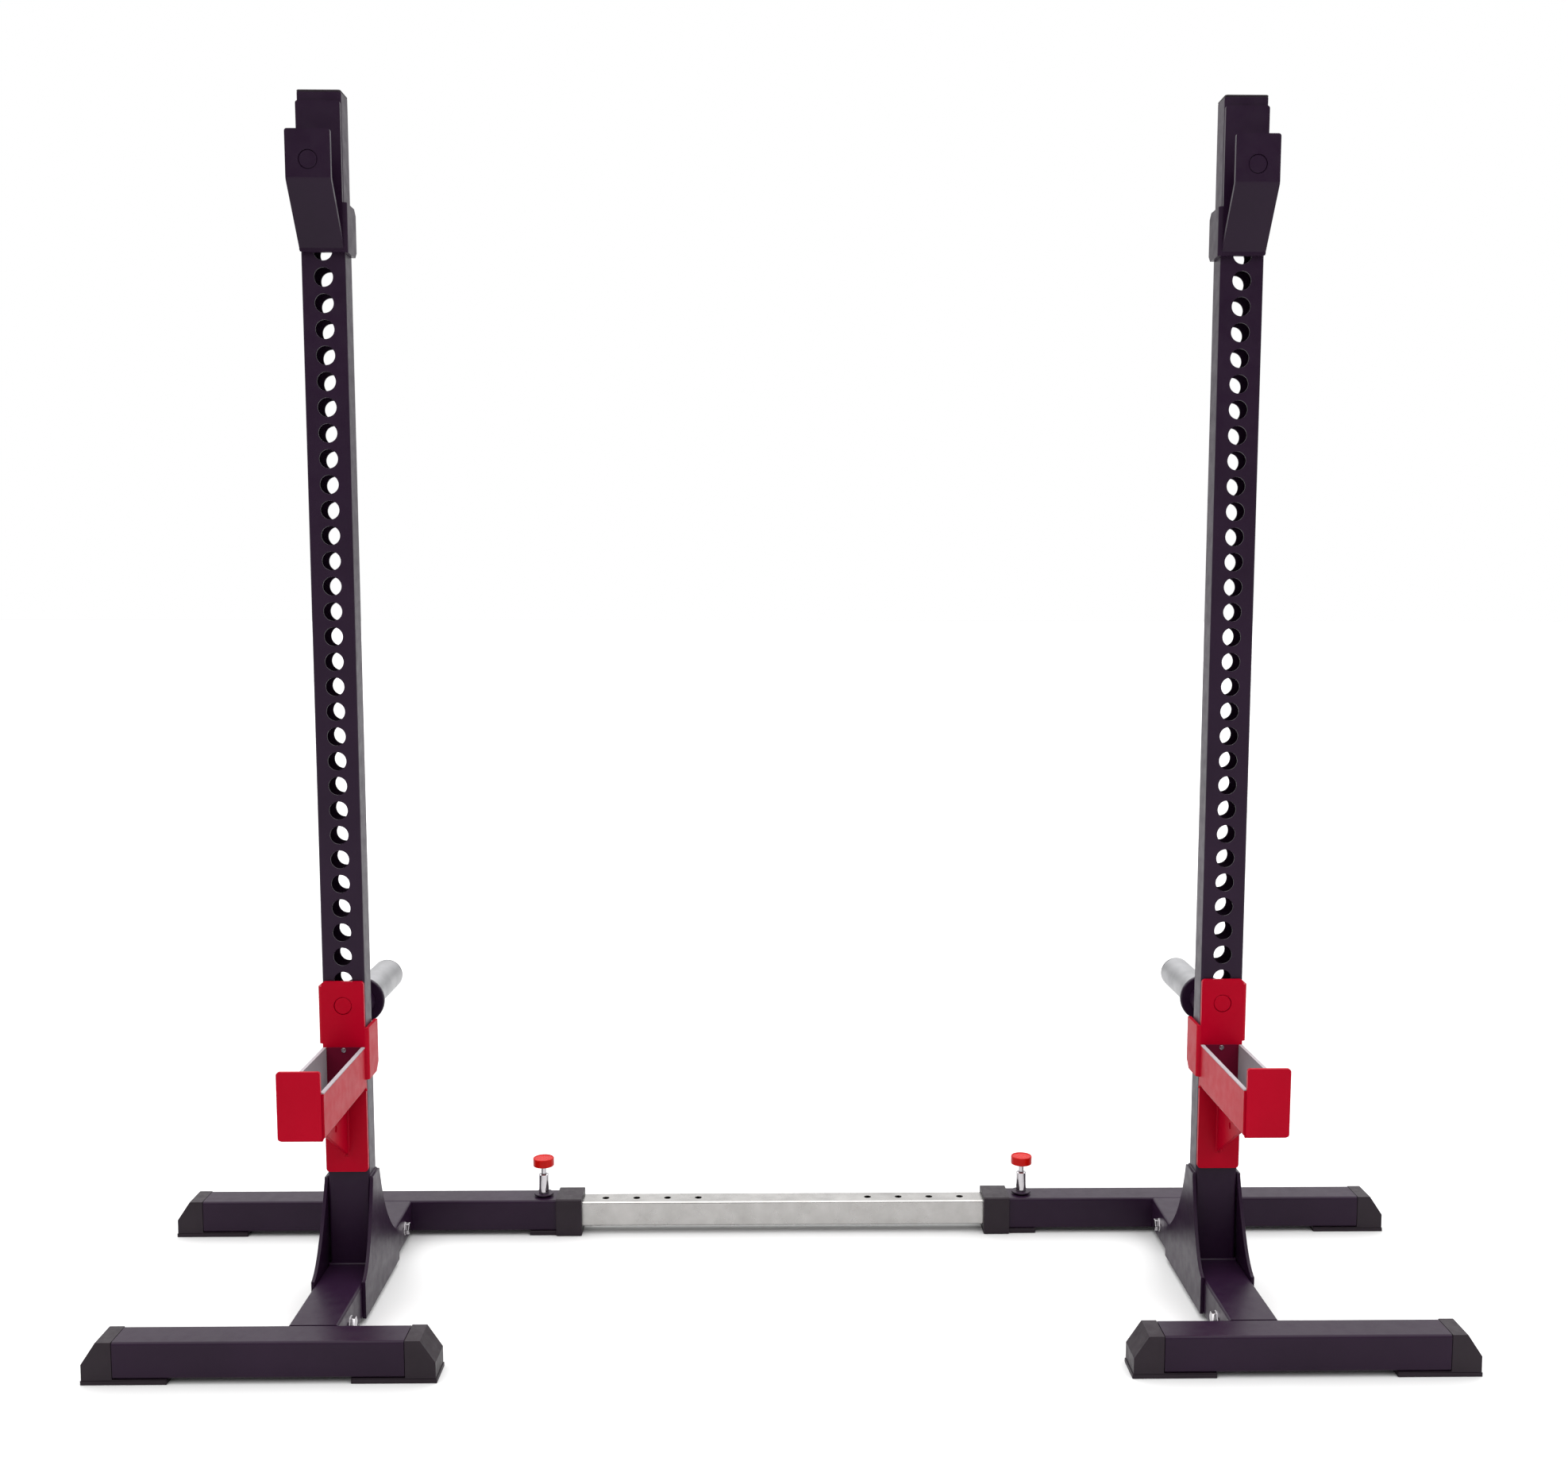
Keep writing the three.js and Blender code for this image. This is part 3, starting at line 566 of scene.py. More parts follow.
def bent(line, thickness, inner_radius):
    """The outline of a strip bent along a line, with its thickness on the line's left."""
    points = [Vector(point) for point in line]
    runs = [(after - before).normalized() for before, after in zip(points, points[1:])]
    lefts = [Vector((-run.y, run.x)) for run in runs]
    near = [points[0]]
    far = [points[0] + lefts[0] * thickness]
    for corner, run_in, run_out, left in zip(points[1:], runs, runs[1:], lefts):
        turn = math.atan2(run_in.cross(run_out), run_in.dot(run_out))
        side = 1 if turn > 0 else -1
        radius = inner_radius + thickness if turn > 0 else inner_radius
        other = inner_radius if turn > 0 else inner_radius + thickness
        start = corner - run_in * radius * math.tan(abs(turn) / 2)
        centre = start + left * side * radius
        first = math.degrees(math.atan2(start.y - centre.y, start.x - centre.x))
        last = first + math.degrees(turn)
        near += [Vector(point) for point in arc(centre, radius, first, last, CORNER_STEPS)]
        far += [Vector(point) for point in arc(centre, other, first, last, CORNER_STEPS)]
    near.append(points[-1])
    far.append(points[-1] + lefts[-1] * thickness)
    return [tuple(point) for point in near + far[::-1]]


def bead(name, places, radius=BEAD_RADIUS):
    """A weld bead: overlapping ripples at the given places, melted into one skin."""

    def add_ripple(place):
        bpy.ops.mesh.primitive_uv_sphere_add(
            segments=RIPPLE_SEGMENTS, ring_count=RIPPLE_RINGS, radius=radius, location=place,
        )

    deselect_all()
    add_ripple(places[0])
    ripples = bpy.context.object
    ripples.name = name
    put_in_place(ripples)
    start_editing(ripples, "VERT")
    for place in places[1:]:
        add_ripple(place)
    stop_editing()
    apply_modifier(ripples, "REMESH", mode="VOXEL", voxel_size=BEAD_VOXEL)
    return ripples


def seam(start, end):
    """Places along a straight seam, a ripple apart."""
    start = Vector(start)
    end = Vector(end)
    count = round((end - start).length / RIPPLE_PITCH)
    return [start.lerp(end, step / count) for step in range(count + 1)]


def round_seam(centre, radius):
    """Places round a seam about the Y axis, a ripple apart."""
    centre = Vector(centre)
    count = round(2 * math.pi * radius / RIPPLE_PITCH)
    angles = [2 * math.pi * step / count for step in range(count)]
    return [centre + radius * Vector((math.cos(angle), 0, math.sin(angle))) for angle in angles]


# Places that the frame gives
upright_low, upright_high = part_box("right_upright")
stand_x = (upright_low.x + upright_high.x) / 2
half_width = (upright_high.x - upright_low.x) / 2
front_face = upright_low.y
rear_face = upright_high.y


def build_upright_cap():
    low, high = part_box("right_upright_cap")
    seat = upright_high.z
    lid = rounded_plate("lid", (low.x, low.y, seat), high, "z", TUBE_CORNER)
    soften_edges(lid, LID_EDGE, EDGE_STEPS)
    inset = TUBE_WALL + FIT_GAP
    plug = hollow_tube(
        "plug", (low.x + inset, low.y + inset, low.z), (high.x - inset, high.y - inset, seat + LID_EDGE),
        "z", TUBE_CORNER - TUBE_WALL, TUBE_WALL,
    )
    join_solids(lid, plug)
    finish_pair(lid, "upright_top_cap", black_plastic, "stand", ["upright_cap"])


def bolt_drill(bolt):
    low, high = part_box(bolt)
    middle = (low + high) / 2
    radius = BOLT_RADIUS + FIT_GAP
    start = (low.x - OVERRUN, middle.y, middle.z)
    return rod("drill", "x", radius, start, (high.x + OVERRUN, middle.y, middle.z), SMALL_STEPS)


def runner_box():
    """The runner is a little wider than the upright that stands on it."""
    low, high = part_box("right_runner")
    swell = Vector((RUNNER_SWELL, 0, 0))
    return low - swell, high + swell


def build_runner():
    low, high = runner_box()
    tube = hollow_tube("runner", low, high, "y", TUBE_CORNER, TUBE_WALL)
    cut_away(tube, bolt_drill("right_front_bolt"))
    cut_away(tube, bolt_drill("right_rear_bolt"))
    soften_edges(tube, CUT_EDGE)
    finish_pair(tube, "runner_tube", black_paint, "stand", ["runner"])


# Gusset plates, with heights above the runner's top
GUSSET_RISE = 0.131
GUSSET_FRONT_LIP = 0.004
GUSSET_FRONT_BEND = 0.036
GUSSET_FRONT_BEND_RISE = 0.014
GUSSET_FRONT_SHOULDER = 0.126
GUSSET_REAR_CHAMFER = 0.007
GUSSET_REAR_BEND = 0.02
GUSSET_REAR_BEND_RISE = 0.037
PLATE_EDGE = 0.0007


def build_gusset(node, name, side):
    """Flat along the runner, then creased to lean in to the upright: side is 1 on the outer side."""
    low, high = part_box(f"right_{node}")
    top = runner_box()[1].z
    outline = [(low.y, top), (low.y, low.z), (high.y, low.z), (high.y, top - GUSSET_REAR_CHAMFER)]
    outline += curve(
        (high.y - GUSSET_REAR_CHAMFER, top),
        (rear_face + GUSSET_REAR_BEND, top + GUSSET_REAR_BEND_RISE),
        (rear_face, top + GUSSET_RISE),
    )
    outline += [(front_face, top + GUSSET_RISE)]
    outline += curve(
        (front_face, top + GUSSET_FRONT_SHOULDER),
        (front_face - GUSSET_FRONT_BEND, top + GUSSET_FRONT_BEND_RISE),
        (low.y, top + GUSSET_FRONT_LIP),
    )
    faces = [low.x + side * RUNNER_SWELL, high.x + side * RUNNER_SWELL]
    gusset = plate("gusset", "x", outline, *faces)
    for face in faces:
        start_editing(gusset, "VERT")
        pick_parts(gusset, "verts", lambda at: max(abs(at.co.x - face), abs(at.co.z - top)) < FIT_GAP / 2)
        bpy.ops.mesh.vert_connect()
        bpy.ops.mesh.mark_sharp()
        stop_editing()
    start_editing(gusset, "VERT")
    pick_parts(gusset, "verts", lambda at: at.co.z > top + FIT_GAP / 2)
    lean = math.asin(RUNNER_SWELL / GUSSET_RISE)
    bpy.ops.transform.rotate(
        value=side * lean, orient_axis="Y", center_override=(faces[0], low.y, top),
    )
    stop_editing()
    soften_edges(gusset, PLATE_EDGE)
    finish_pair(gusset, name, black_paint, "stand", [node])
    weld_height = top + GUSSET_RISE
    weld_x = stand_x + side * half_width
    places = seam(
        (weld_x, front_face + BEAD_RADIUS, weld_height),
        (weld_x, rear_face - BEAD_RADIUS, weld_height),
    )
    finish_pair(bead("weld", places), f"{node}_top_weld", black_paint, "stand", [])


def stub_tube(name, start, end, bolt):
    """The welded stub that enters the runner, and is held by a bolt."""
    low, high = runner_box()
    inset = Vector((TUBE_WALL + FIT_GAP, 0, TUBE_WALL + FIT_GAP))
    lowest = Vector((low.x, start, low.z)) + inset
    highest = Vector((high.x, end, high.z)) - inset
    tube = hollow_tube(name, lowest, highest, "y", TUBE_CORNER - TUBE_WALL, STUB_WALL)
    cut_away(tube, bolt_drill(bolt))
    return tube


def build_foot():
    low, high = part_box("right_front_foot")
    back = low.y + BASE_TUBE
    tube = hollow_tube("foot", low, (high.x, back, high.z), "x", TUBE_CORNER, TUBE_WALL)
    join_solids(tube, stub_tube("stub", back - TUBE_WALL / 2, high.y, "right_front_bolt"))
    soften_edges(tube, CUT_EDGE)
    finish_pair(tube, "front_foot_tube", black_paint, "stand", ["front_foot"])


# The pop-pin, with heights above the beam's top
FLANGE_RADIUS = 0.0155
FLANGE_FOOT_RADIUS = 0.0105
FLANGE_HEIGHT = 0.0045
FLANGE_RIM = 0.0018
FLANGE_EDGE = 0.0006
BARREL_RADIUS = 0.008


def build_beam():
    low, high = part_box("right_rear_beam")
    face = high.y - BASE_TUBE
    top = low.z + BASE_TUBE
    barrel_low, barrel_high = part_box("right_pin_barrel")
    pin = (barrel_low + barrel_high) / 2
    tube = hollow_tube("beam", (low.x, face, low.z), (high.x, high.y, top), "x", TUBE_CORNER, TUBE_WALL)
    join_solids(tube, stub_tube("stub", low.y, face + TUBE_WALL / 2, "right_rear_bolt"))
    flange = turned("flange", "z", (pin.x, pin.y, top), [
        (0, -TUBE_WALL / 2),
        (FLANGE_FOOT_RADIUS, -TUBE_WALL / 2),
        (FLANGE_FOOT_RADIUS, FLANGE_EDGE),
        (FLANGE_RADIUS, FLANGE_HEIGHT - FLANGE_RIM),
        (FLANGE_RADIUS, FLANGE_HEIGHT - FLANGE_EDGE),
        (FLANGE_RADIUS - FLANGE_EDGE, FLANGE_HEIGHT),
        (0, FLANGE_HEIGHT),
    ])
    join_solids(tube, flange)
    bore = BARREL_RADIUS + FIT_GAP
    cut_away(tube, rod("bore", "z", bore, (pin.x, pin.y, top - OVERRUN), (pin.x, pin.y, top + OVERRUN)))
    soften_edges(tube, CUT_EDGE)
    finish_pair(tube, "rear_beam_tube", black_paint, "stand", ["rear_beam"])


def hexagon(name, start, end, radius):
    """A hexagonal bar along X with its rims and corners eased."""
    piece = rod(name, "x", radius, start, end, HEX_SIDES)
    soften_edges(piece, HEX_EDGE)
    return piece


def washer(seat, side):
    """A washer on the runner's side: its seat is the point on the face."""
    return turned("washer", "x", seat, [
        (0, 0),
        (WASHER_RADIUS, 0),
        (WASHER_RADIUS, side * (WASHER_HEIGHT - WASHER_EDGE)),
        (WASHER_RADIUS - WASHER_EDGE, side * WASHER_HEIGHT),
        (0, side * WASHER_HEIGHT),
    ], SMALL_STEPS)


def build_bolts():
    for end in ("front", "rear"):
        low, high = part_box(f"right_{end}_bolt")
        middle = (low + high) / 2
        centre = (middle.y, middle.z)
        runner_low, runner_high = runner_box()
        seat = runner_high.x
        bolt = hexagon(
            "bolt", (seat + WASHER_HEIGHT, *centre), (seat + HEAD_HEIGHT, *centre), HEAD_RADIUS,
        )
        tip = (runner_low.x - NUT_BORE_DEPTH + FIT_GAP, *centre)
        shank = rod("shank", "x", BOLT_RADIUS, tip, (seat + HEAD_HEIGHT / 2, *centre), SMALL_STEPS)
        join_solids(bolt, shank)
        join_solids(bolt, washer(Vector((seat, *centre)), 1))
        finish_pair(bolt, f"{end}_hex_bolt", chrome, "stand", [f"{end}_bolt"])
        seat = runner_low.x
        nut = hexagon(
            "nut", (seat - NUT_HEIGHT, *centre), (seat - WASHER_HEIGHT + WASHER_EDGE, *centre), HEAD_RADIUS,
        )
        join_solids(nut, washer(Vector((seat, *centre)), -1))
        bore = BOLT_RADIUS + FIT_GAP
        start = (seat - NUT_BORE_DEPTH, *centre)
        cut_away(nut, rod("bore", "x", bore, start, (seat + OVERRUN, *centre), SMALL_STEPS))
        finish_pair(nut, f"{end}_closed_nut", chrome, "stand", [f"{end}_nut"])


def build_foot_welds():
    """Beads across the upright's foot, between the gussets."""
    seat = upright_low.z
    for name, y in (("front_foot_weld", front_face), ("rear_foot_weld", rear_face)):
        places = seam((upright_low.x, y, seat), (upright_high.x, y, seat))
        weld = bead(name, places, FOOT_BEAD_RADIUS)
        finish_pair(weld, name, black_paint, "stand", [])


# Plastic caps, with heights above the floor and reaches out from the tube's end
CAP_LENGTH = 0.041
CAP_FLAT = 0.021
CAP_NOSE_HEIGHT = 0.028
CAP_LIP = 0.070
CAP_SOLE_HEIGHT = 0.006
CAP_SOLE_EDGE = 0.0015
CAP_EDGE = 0.0014
SOLE_GROOVE = 0.0009
SOLE_SEAM = 0.0004
CAP_SEAM = 0.0009
PLUG_WALL = 0.0025
PLUG_DEPTH = 0.025


def build_cap(node, name, side):
    """A foot cap: side is 1 where it points outward and -1 where it points inward."""
    low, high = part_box(f"right_{node}")
    reach = CAP_LENGTH + CAP_SOLE_EDGE
    end = high.x - reach if side > 0 else low.x + reach
    top = TUBE_LIFT + BASE_TUBE
    outline = [
        (CAP_SEAM, top),
        (CAP_SEAM, TUBE_LIFT - CAP_SEAM),
        (-CAP_LIP, TUBE_LIFT - CAP_SEAM),
        (-CAP_LIP, CAP_SOLE_HEIGHT + SOLE_SEAM),
        (CAP_LENGTH, CAP_SOLE_HEIGHT + SOLE_SEAM),
        (CAP_LENGTH, CAP_NOSE_HEIGHT),
        (CAP_FLAT, top),
    ]
    body = plate("cap", "y", [(end + side * x, z) for x, z in outline], low.y, high.y)
    soften_edges(body, CAP_EDGE, EDGE_STEPS, LOW_EDGE_ANGLE)

    def layer(inset, bottom, height, start, stop):
        ends = sorted((end + side * (start + inset), end + side * (stop - inset)))
        return block("layer", (ends[0], low.y + inset, bottom), (ends[1], high.y - inset, height))

    sole = layer(0, low.z, CAP_SOLE_HEIGHT, -CAP_LIP, reach)
    soften_edges(sole, SOLE_GROOVE)
    core = layer(2 * SOLE_GROOVE, low.z + SOLE_GROOVE, CAP_SOLE_HEIGHT + SOLE_GROOVE, -CAP_LIP, CAP_LENGTH)
    join_solids(body, core)
    join_solids(body, sole)
    inset = TUBE_WALL + FIT_GAP
    inside = sorted((end - side * PLUG_DEPTH, end + side * CAP_EDGE * 2))
    plug = hollow_tube(
        "plug", (inside[0], low.y + inset, TUBE_LIFT + inset), (inside[1], high.y - inset, top - inset),
        "x", TUBE_CORNER - TUBE_WALL, PLUG_WALL,
    )
    join_solids(body, plug)
    finish_pair(body, name, black_plastic, "stand", [node])


# The collar that guides the cross tube
COLLAR_END_WALL = 0.006
COLLAR_COVER = 0.035
COLLAR_GUIDE = 0.036
COLLAR_CORNER = 0.004
COLLAR_EDGE = 0.0015


def build_collar():
    low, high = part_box("right_collar")
    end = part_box("right_rear_beam")[0].x
    middle = Vector((0, (low.y + high.y) / 2, TUBE_LIFT + BASE_TUBE / 2))

    def bar(name, start, stop, size, corner):
        half = Vector((0, size / 2, size / 2))
        low_end = Vector((start, 0, 0)) + middle - half
        return rounded_plate(name, low_end, Vector((stop, 0, 0)) + middle + half, "x", corner)

    shell = rounded_plate("collar", low, (end + COLLAR_COVER, high.y, high.z), "x", COLLAR_CORNER)
    lip_side = BASE_TUBE / 2
    lip = block(
        "lip", (end, middle.y - lip_side, low.z), (high.x, middle.y + lip_side, TUBE_LIFT - FIT_GAP),
    )
    join_solids(shell, lip)
    soften_edges(shell, COLLAR_EDGE, EDGE_STEPS)
    cover = BASE_TUBE + 2 * FIT_GAP
    cut_away(shell, bar("cover", end, end + COLLAR_COVER + OVERRUN, cover, TUBE_CORNER))
    guide = BASE_TUBE - 2 * TUBE_WALL - 2 * FIT_GAP
    sleeve = bar("guide", low.x + COLLAR_END_WALL / 2, end + COLLAR_GUIDE, guide, TUBE_CORNER - TUBE_WALL)
    join_solids(shell, sleeve)
    passage = CROSS_TUBE + 2 * FIT_GAP
    cut_away(shell, bar("passage", low.x - OVERRUN, end + COLLAR_GUIDE + OVERRUN, passage, CROSS_CORNER))
    finish_pair(shell, "guide_collar", black_plastic, "stand", ["collar"])


def build_cross_tube():
    low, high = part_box("cross_tube")
    middle = (low + high) / 2
    tube = hollow_tube("cross_tube_silver", low, high, "x", CROSS_CORNER, CROSS_WALL)
    outermost = high.x - CROSS_END_MARGIN
    for number in range(CROSS_HOLE_COUNT):
        for side in (-1, 1):
            x = side * (outermost - number * CROSS_HOLE_PITCH)
            drill = rod(
                "drill", "z", CROSS_HOLE_RADIUS,
                (x, middle.y, middle.z), (x, middle.y, high.z + OVERRUN), HOLE_STEPS,
            )
            cut_away(tube, drill)
    soften_edges(tube, CUT_EDGE)
    finish(tube, silver_zinc, "cross_tube", ["cross_tube"])


def build_glide_plugs():
    low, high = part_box("right_glide_plug")
    tube_low, tube_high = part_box("cross_tube")
    plug = rounded_plate("glide", (tube_high.x, low.y, low.z), high, "x", TUBE_CORNER - TUBE_WALL)
    soften_edges(plug, PLATE_EDGE)
    wall = Vector((0, CROSS_WALL + FIT_GAP, CROSS_WALL + FIT_GAP))
    start = Vector((low.x, tube_low.y, tube_low.z)) + wall
    stop = Vector((tube_high.x + PLATE_EDGE * 2, tube_high.y, tube_high.z)) - wall
    join_solids(plug, hollow_tube("stem", start, stop, "x", CROSS_CORNER - CROSS_WALL, PLUG_WALL))
    plug.name = "right_glide"
    left = mirrored(plug, "left_glide")
    finish(plug, black_plastic, "cross_tube", ["right_glide_plug"])
    finish(left, black_plastic, "cross_tube", ["left_glide_plug"])


# The pop-pin, in heights above the beam's top
BARREL_HEIGHT = 0.036
BARREL_TOP_WALL = 0.004
BARREL_EDGE = 0.0008
CHAMBER_RADIUS = 0.0065
CHAMBER_HEIGHT = 0.020
PLUNGER_RADIUS = 0.005
PLUNGER_CHAMFER = 0.001
SHOULDER_HEIGHT = 0.003
KNOB_ROD_RADIUS = 0.004
KNOB_ROD_REACH = 0.010
KNOB_LIFT = 0.011
KNOB_RADIUS = 0.01675
KNOB_HEIGHT = 0.016
KNOB_NECK_RADIUS = 0.008
KNOB_CONE_HEIGHT = 0.004
KNOB_SKIRT_EDGE = 0.0012
KNOB_SKIRT_ANGLE = 60
KNOB_RIM_EDGE = 0.0014
KNOB_DISH_RADIUS = 0.0138
KNOB_DISH_DEPTH = 0.0009
SPRING_WIRE = 0.0006
SPRING_CURLS = 4


def build_pop_pin():
    low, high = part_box("right_pin_barrel")
    place = Vector(((low.x + high.x) / 2, (low.y + high.y) / 2, TUBE_LIFT + BASE_TUBE))
    chamber_top = BARREL_HEIGHT - BARREL_TOP_WALL
    chamber_floor = chamber_top - CHAMBER_HEIGHT
    foot = FIT_GAP - TUBE_WALL
    wide_bore = PLUNGER_RADIUS + FIT_GAP
    bore = KNOB_ROD_RADIUS + FIT_GAP
    barrel = turned("barrel", "z", place, [
        (wide_bore, foot),
        (BARREL_RADIUS, foot),
        (BARREL_RADIUS, BARREL_HEIGHT - BARREL_EDGE),
        (BARREL_RADIUS - BARREL_EDGE, BARREL_HEIGHT),
        (bore + BARREL_EDGE, BARREL_HEIGHT),
        (bore, BARREL_HEIGHT - BARREL_EDGE),
        (bore, chamber_top),
        (CHAMBER_RADIUS, chamber_top),
        (CHAMBER_RADIUS, chamber_floor),
        (wide_bore, chamber_floor),
        (wide_bore, foot),
    ])
    finish_pair(barrel, "pop_pin_barrel", chrome, "stand", ["pin_barrel"])
    tip = FIT_GAP - (BASE_TUBE - CROSS_TUBE) / 2
    shoulder = CHAMBER_RADIUS - FIT_GAP
    shoulder_top = chamber_floor + SHOULDER_HEIGHT
    bottom = BARREL_HEIGHT + KNOB_LIFT
    rod_top = bottom + KNOB_ROD_REACH
    plunger = turned("plunger", "z", place, [
        (0, tip),
        (PLUNGER_RADIUS - PLUNGER_CHAMFER, tip),
        (PLUNGER_RADIUS, tip + PLUNGER_CHAMFER),
        (PLUNGER_RADIUS, chamber_floor),
        (shoulder, chamber_floor),
        (shoulder, shoulder_top),
        (KNOB_ROD_RADIUS, shoulder_top),
        (KNOB_ROD_RADIUS, rod_top),
        (0, rod_top),
    ], SMALL_STEPS)
    finish_pair(plunger, "pop_pin_plunger", chrome, "pop_pin", ["pin_rod"])
    top = bottom + KNOB_HEIGHT
    dish = top - KNOB_DISH_DEPTH
    skirt = (KNOB_RADIUS - KNOB_SKIRT_EDGE, bottom + KNOB_CONE_HEIGHT)
    knob = turned("knob", "z", place, [
        (0, rod_top),
        (bore, rod_top),
        (bore, bottom),
        (KNOB_NECK_RADIUS, bottom),
        *arc(skirt, KNOB_SKIRT_EDGE, -KNOB_SKIRT_ANGLE, 0, SKIRT_STEPS),
        *far_rim(KNOB_RADIUS, top, KNOB_RIM_EDGE),
        (KNOB_DISH_RADIUS + KNOB_DISH_DEPTH, top),
        (KNOB_DISH_RADIUS, dish),
        (0, dish),
    ])
    finish_pair(knob, "pop_pin_knob", knob_red, "pop_pin", ["pin_knob"])
    build_spring(place, shoulder_top, chamber_top)


def build_spring(place, bottom, top):
    clearance = SPRING_WIRE + FIT_GAP
    deselect_all()
    bpy.ops.mesh.primitive_circle_add(
        vertices=WIRE_STEPS, radius=SPRING_WIRE, rotation=(math.pi / 2, 0, 0),
        location=((KNOB_ROD_RADIUS + CHAMBER_RADIUS) / 2, 0, bottom + clearance),
    )
    spring = bpy.context.object
    put_in_place(spring)
    apply_modifier(
        spring, "SCREW", axis="Z", iterations=SPRING_CURLS, steps=SMALL_STEPS, render_steps=SMALL_STEPS,
        screw_offset=(top - bottom - 2 * clearance) / SPRING_CURLS,
    )
    start_editing(spring, "EDGE")
    bpy.ops.mesh.select_all(action="SELECT")
    bpy.ops.mesh.fill_holes(sides=0)
    stop_editing()
    moved(spring, place)
    clean_mesh(spring)
    finish_pair(spring, "pop_pin_spring", spring_wire, "stand", ["pin_spring"])
    for side in ("left", "right"):
        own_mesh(bpy.data.objects[f"{side}_pop_pin_spring"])


# The weight peg, in reaches back from the upright's rear face
PEG_REACH = 0.226
PEG_POST_RADIUS = 0.021
PEG_POST_WALL = 0.003
PEG_FLANGE_RADIUS = 0.0345
PEG_FLANGE_THICKNESS = 0.008
PEG_FLANGE_SETBACK = 0.056
PEG_FLANGE_EDGE = 0.0022
PEG_SLEEVE_RADIUS = 0.024
PEG_SLEEVE_EDGE = 0.0008
PEG_CAP_THICKNESS = 0.004
PEG_CAP_EDGE = 0.003
PEG_PLUG_DEPTH = 0.015


def build_peg():
    low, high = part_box("right_peg_post")
    place = Vector((stand_x, rear_face, (low.z + high.z) / 2))
    inner = PEG_POST_RADIUS - PEG_POST_WALL
    flange_back = PEG_FLANGE_SETBACK + PEG_FLANGE_THICKNESS
    post = turned("post", "y", place, [
        (inner, 0),
        (PEG_POST_RADIUS, 0),
        (PEG_POST_RADIUS, PEG_FLANGE_SETBACK),
        *near_rim(PEG_FLANGE_RADIUS, PEG_FLANGE_SETBACK, PEG_FLANGE_EDGE),
        *far_rim(PEG_FLANGE_RADIUS, flange_back, PEG_FLANGE_EDGE),
        (PEG_POST_RADIUS, flange_back),
        (PEG_POST_RADIUS, PEG_REACH),
        (inner, PEG_REACH),
        (inner, 0),
    ])
    finish_pair(post, "peg_post_and_flange", black_paint, "stand", ["peg_post"])
    bore = PEG_POST_RADIUS + FIT_GAP
    sleeve = turned("sleeve", "y", place, [
        (bore, flange_back),
        *near_rim(PEG_SLEEVE_RADIUS, flange_back, PEG_SLEEVE_EDGE, EDGE_STEPS),
        *far_rim(PEG_SLEEVE_RADIUS, PEG_REACH, PEG_SLEEVE_EDGE, EDGE_STEPS),
        (bore, PEG_REACH),
        (bore, flange_back),
    ])
    finish_pair(sleeve, "peg_bar_sleeve", peg_steel, "stand", ["peg_sleeve"])
    plug = inner - FIT_GAP
    end = PEG_REACH + PEG_CAP_THICKNESS
    cap = turned("peg_cap", "y", place, [
        (0, PEG_REACH),
        (plug - PLUG_WALL, PEG_REACH),
        (plug - PLUG_WALL, PEG_REACH - PEG_PLUG_DEPTH),
        (plug, PEG_REACH - PEG_PLUG_DEPTH),
        (plug, PEG_REACH),
        (PEG_SLEEVE_RADIUS, PEG_REACH),
        *far_rim(PEG_SLEEVE_RADIUS, end, PEG_CAP_EDGE),
        (0, end),
    ])
    finish_pair(cap, "peg_end_cap", black_plastic, "stand", ["peg_cap"])
    weld = bead("peg_weld", round_seam(place, PEG_POST_RADIUS))
    finish_pair(weld, "peg_weld", black_paint, "stand", [])


# Holders: the hook and the spotter, about their pin's axis at the upright's front face
HOLDER_PLATE = 0.006
HOLDER_EDGE = 0.0011
HOLDER_PIN_RADIUS = 0.0125
HOLDER_PIN_CHAMFER = 0.002
HOLDER_PIN_RIM = 0.0013
HOLDER_PIN_SETBACK = 0.002
EAR_THICKNESS = 0.005
EAR_BEND = 0.001
EAR_ROOT = 0.012


def holder_place(pin):
    low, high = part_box(pin)
    return Vector((stand_x, front_face, (low.z + high.z) / 2))


def ear(side, bottom, top, reach, chamfer_bottom, chamfer_top):
    """A tab bent back along the upright: side is 1 on the outer side and -1 on the inner side."""
    far = half_width + FIT_GAP + EAR_THICKNESS
    line = [(half_width - EAR_ROOT, -HOLDER_PLATE), (far, -HOLDER_PLATE), (far, reach)]
    if side < 0:
        line = flipped(line)
    tab = plate("ear", "z", bent(line, EAR_THICKNESS, EAR_BEND), bottom, top)
    middle_height = (bottom + top) / 2
    for way, chamfer in ((-1, chamfer_bottom), (1, chamfer_top)):
        if chamfer:
            round_corners(
                tab, "x", chamfer, lambda at: at.y > reach / 2 and way * at.z > way * middle_height,
                steps=1,
            )
    return tab


def holder_pin(front):
    end = rear_face - front_face - HOLDER_PIN_SETBACK
    return turned("pin", "y", (0, 0, 0), [
        (0, front),
        (HOLDER_PIN_RADIUS - HOLDER_PIN_RIM, front),
        (HOLDER_PIN_RADIUS, front + HOLDER_PIN_RIM),
        (HOLDER_PIN_RADIUS, end - HOLDER_PIN_CHAMFER),
        (HOLDER_PIN_RADIUS - HOLDER_PIN_CHAMFER, end),
        (0, end),
    ])


def holder_bore(front):
    return rod("bore", "y", HOLDER_PIN_RADIUS + FIT_GAP, (0, front - OVERRUN, 0), (0, OVERRUN, 0))


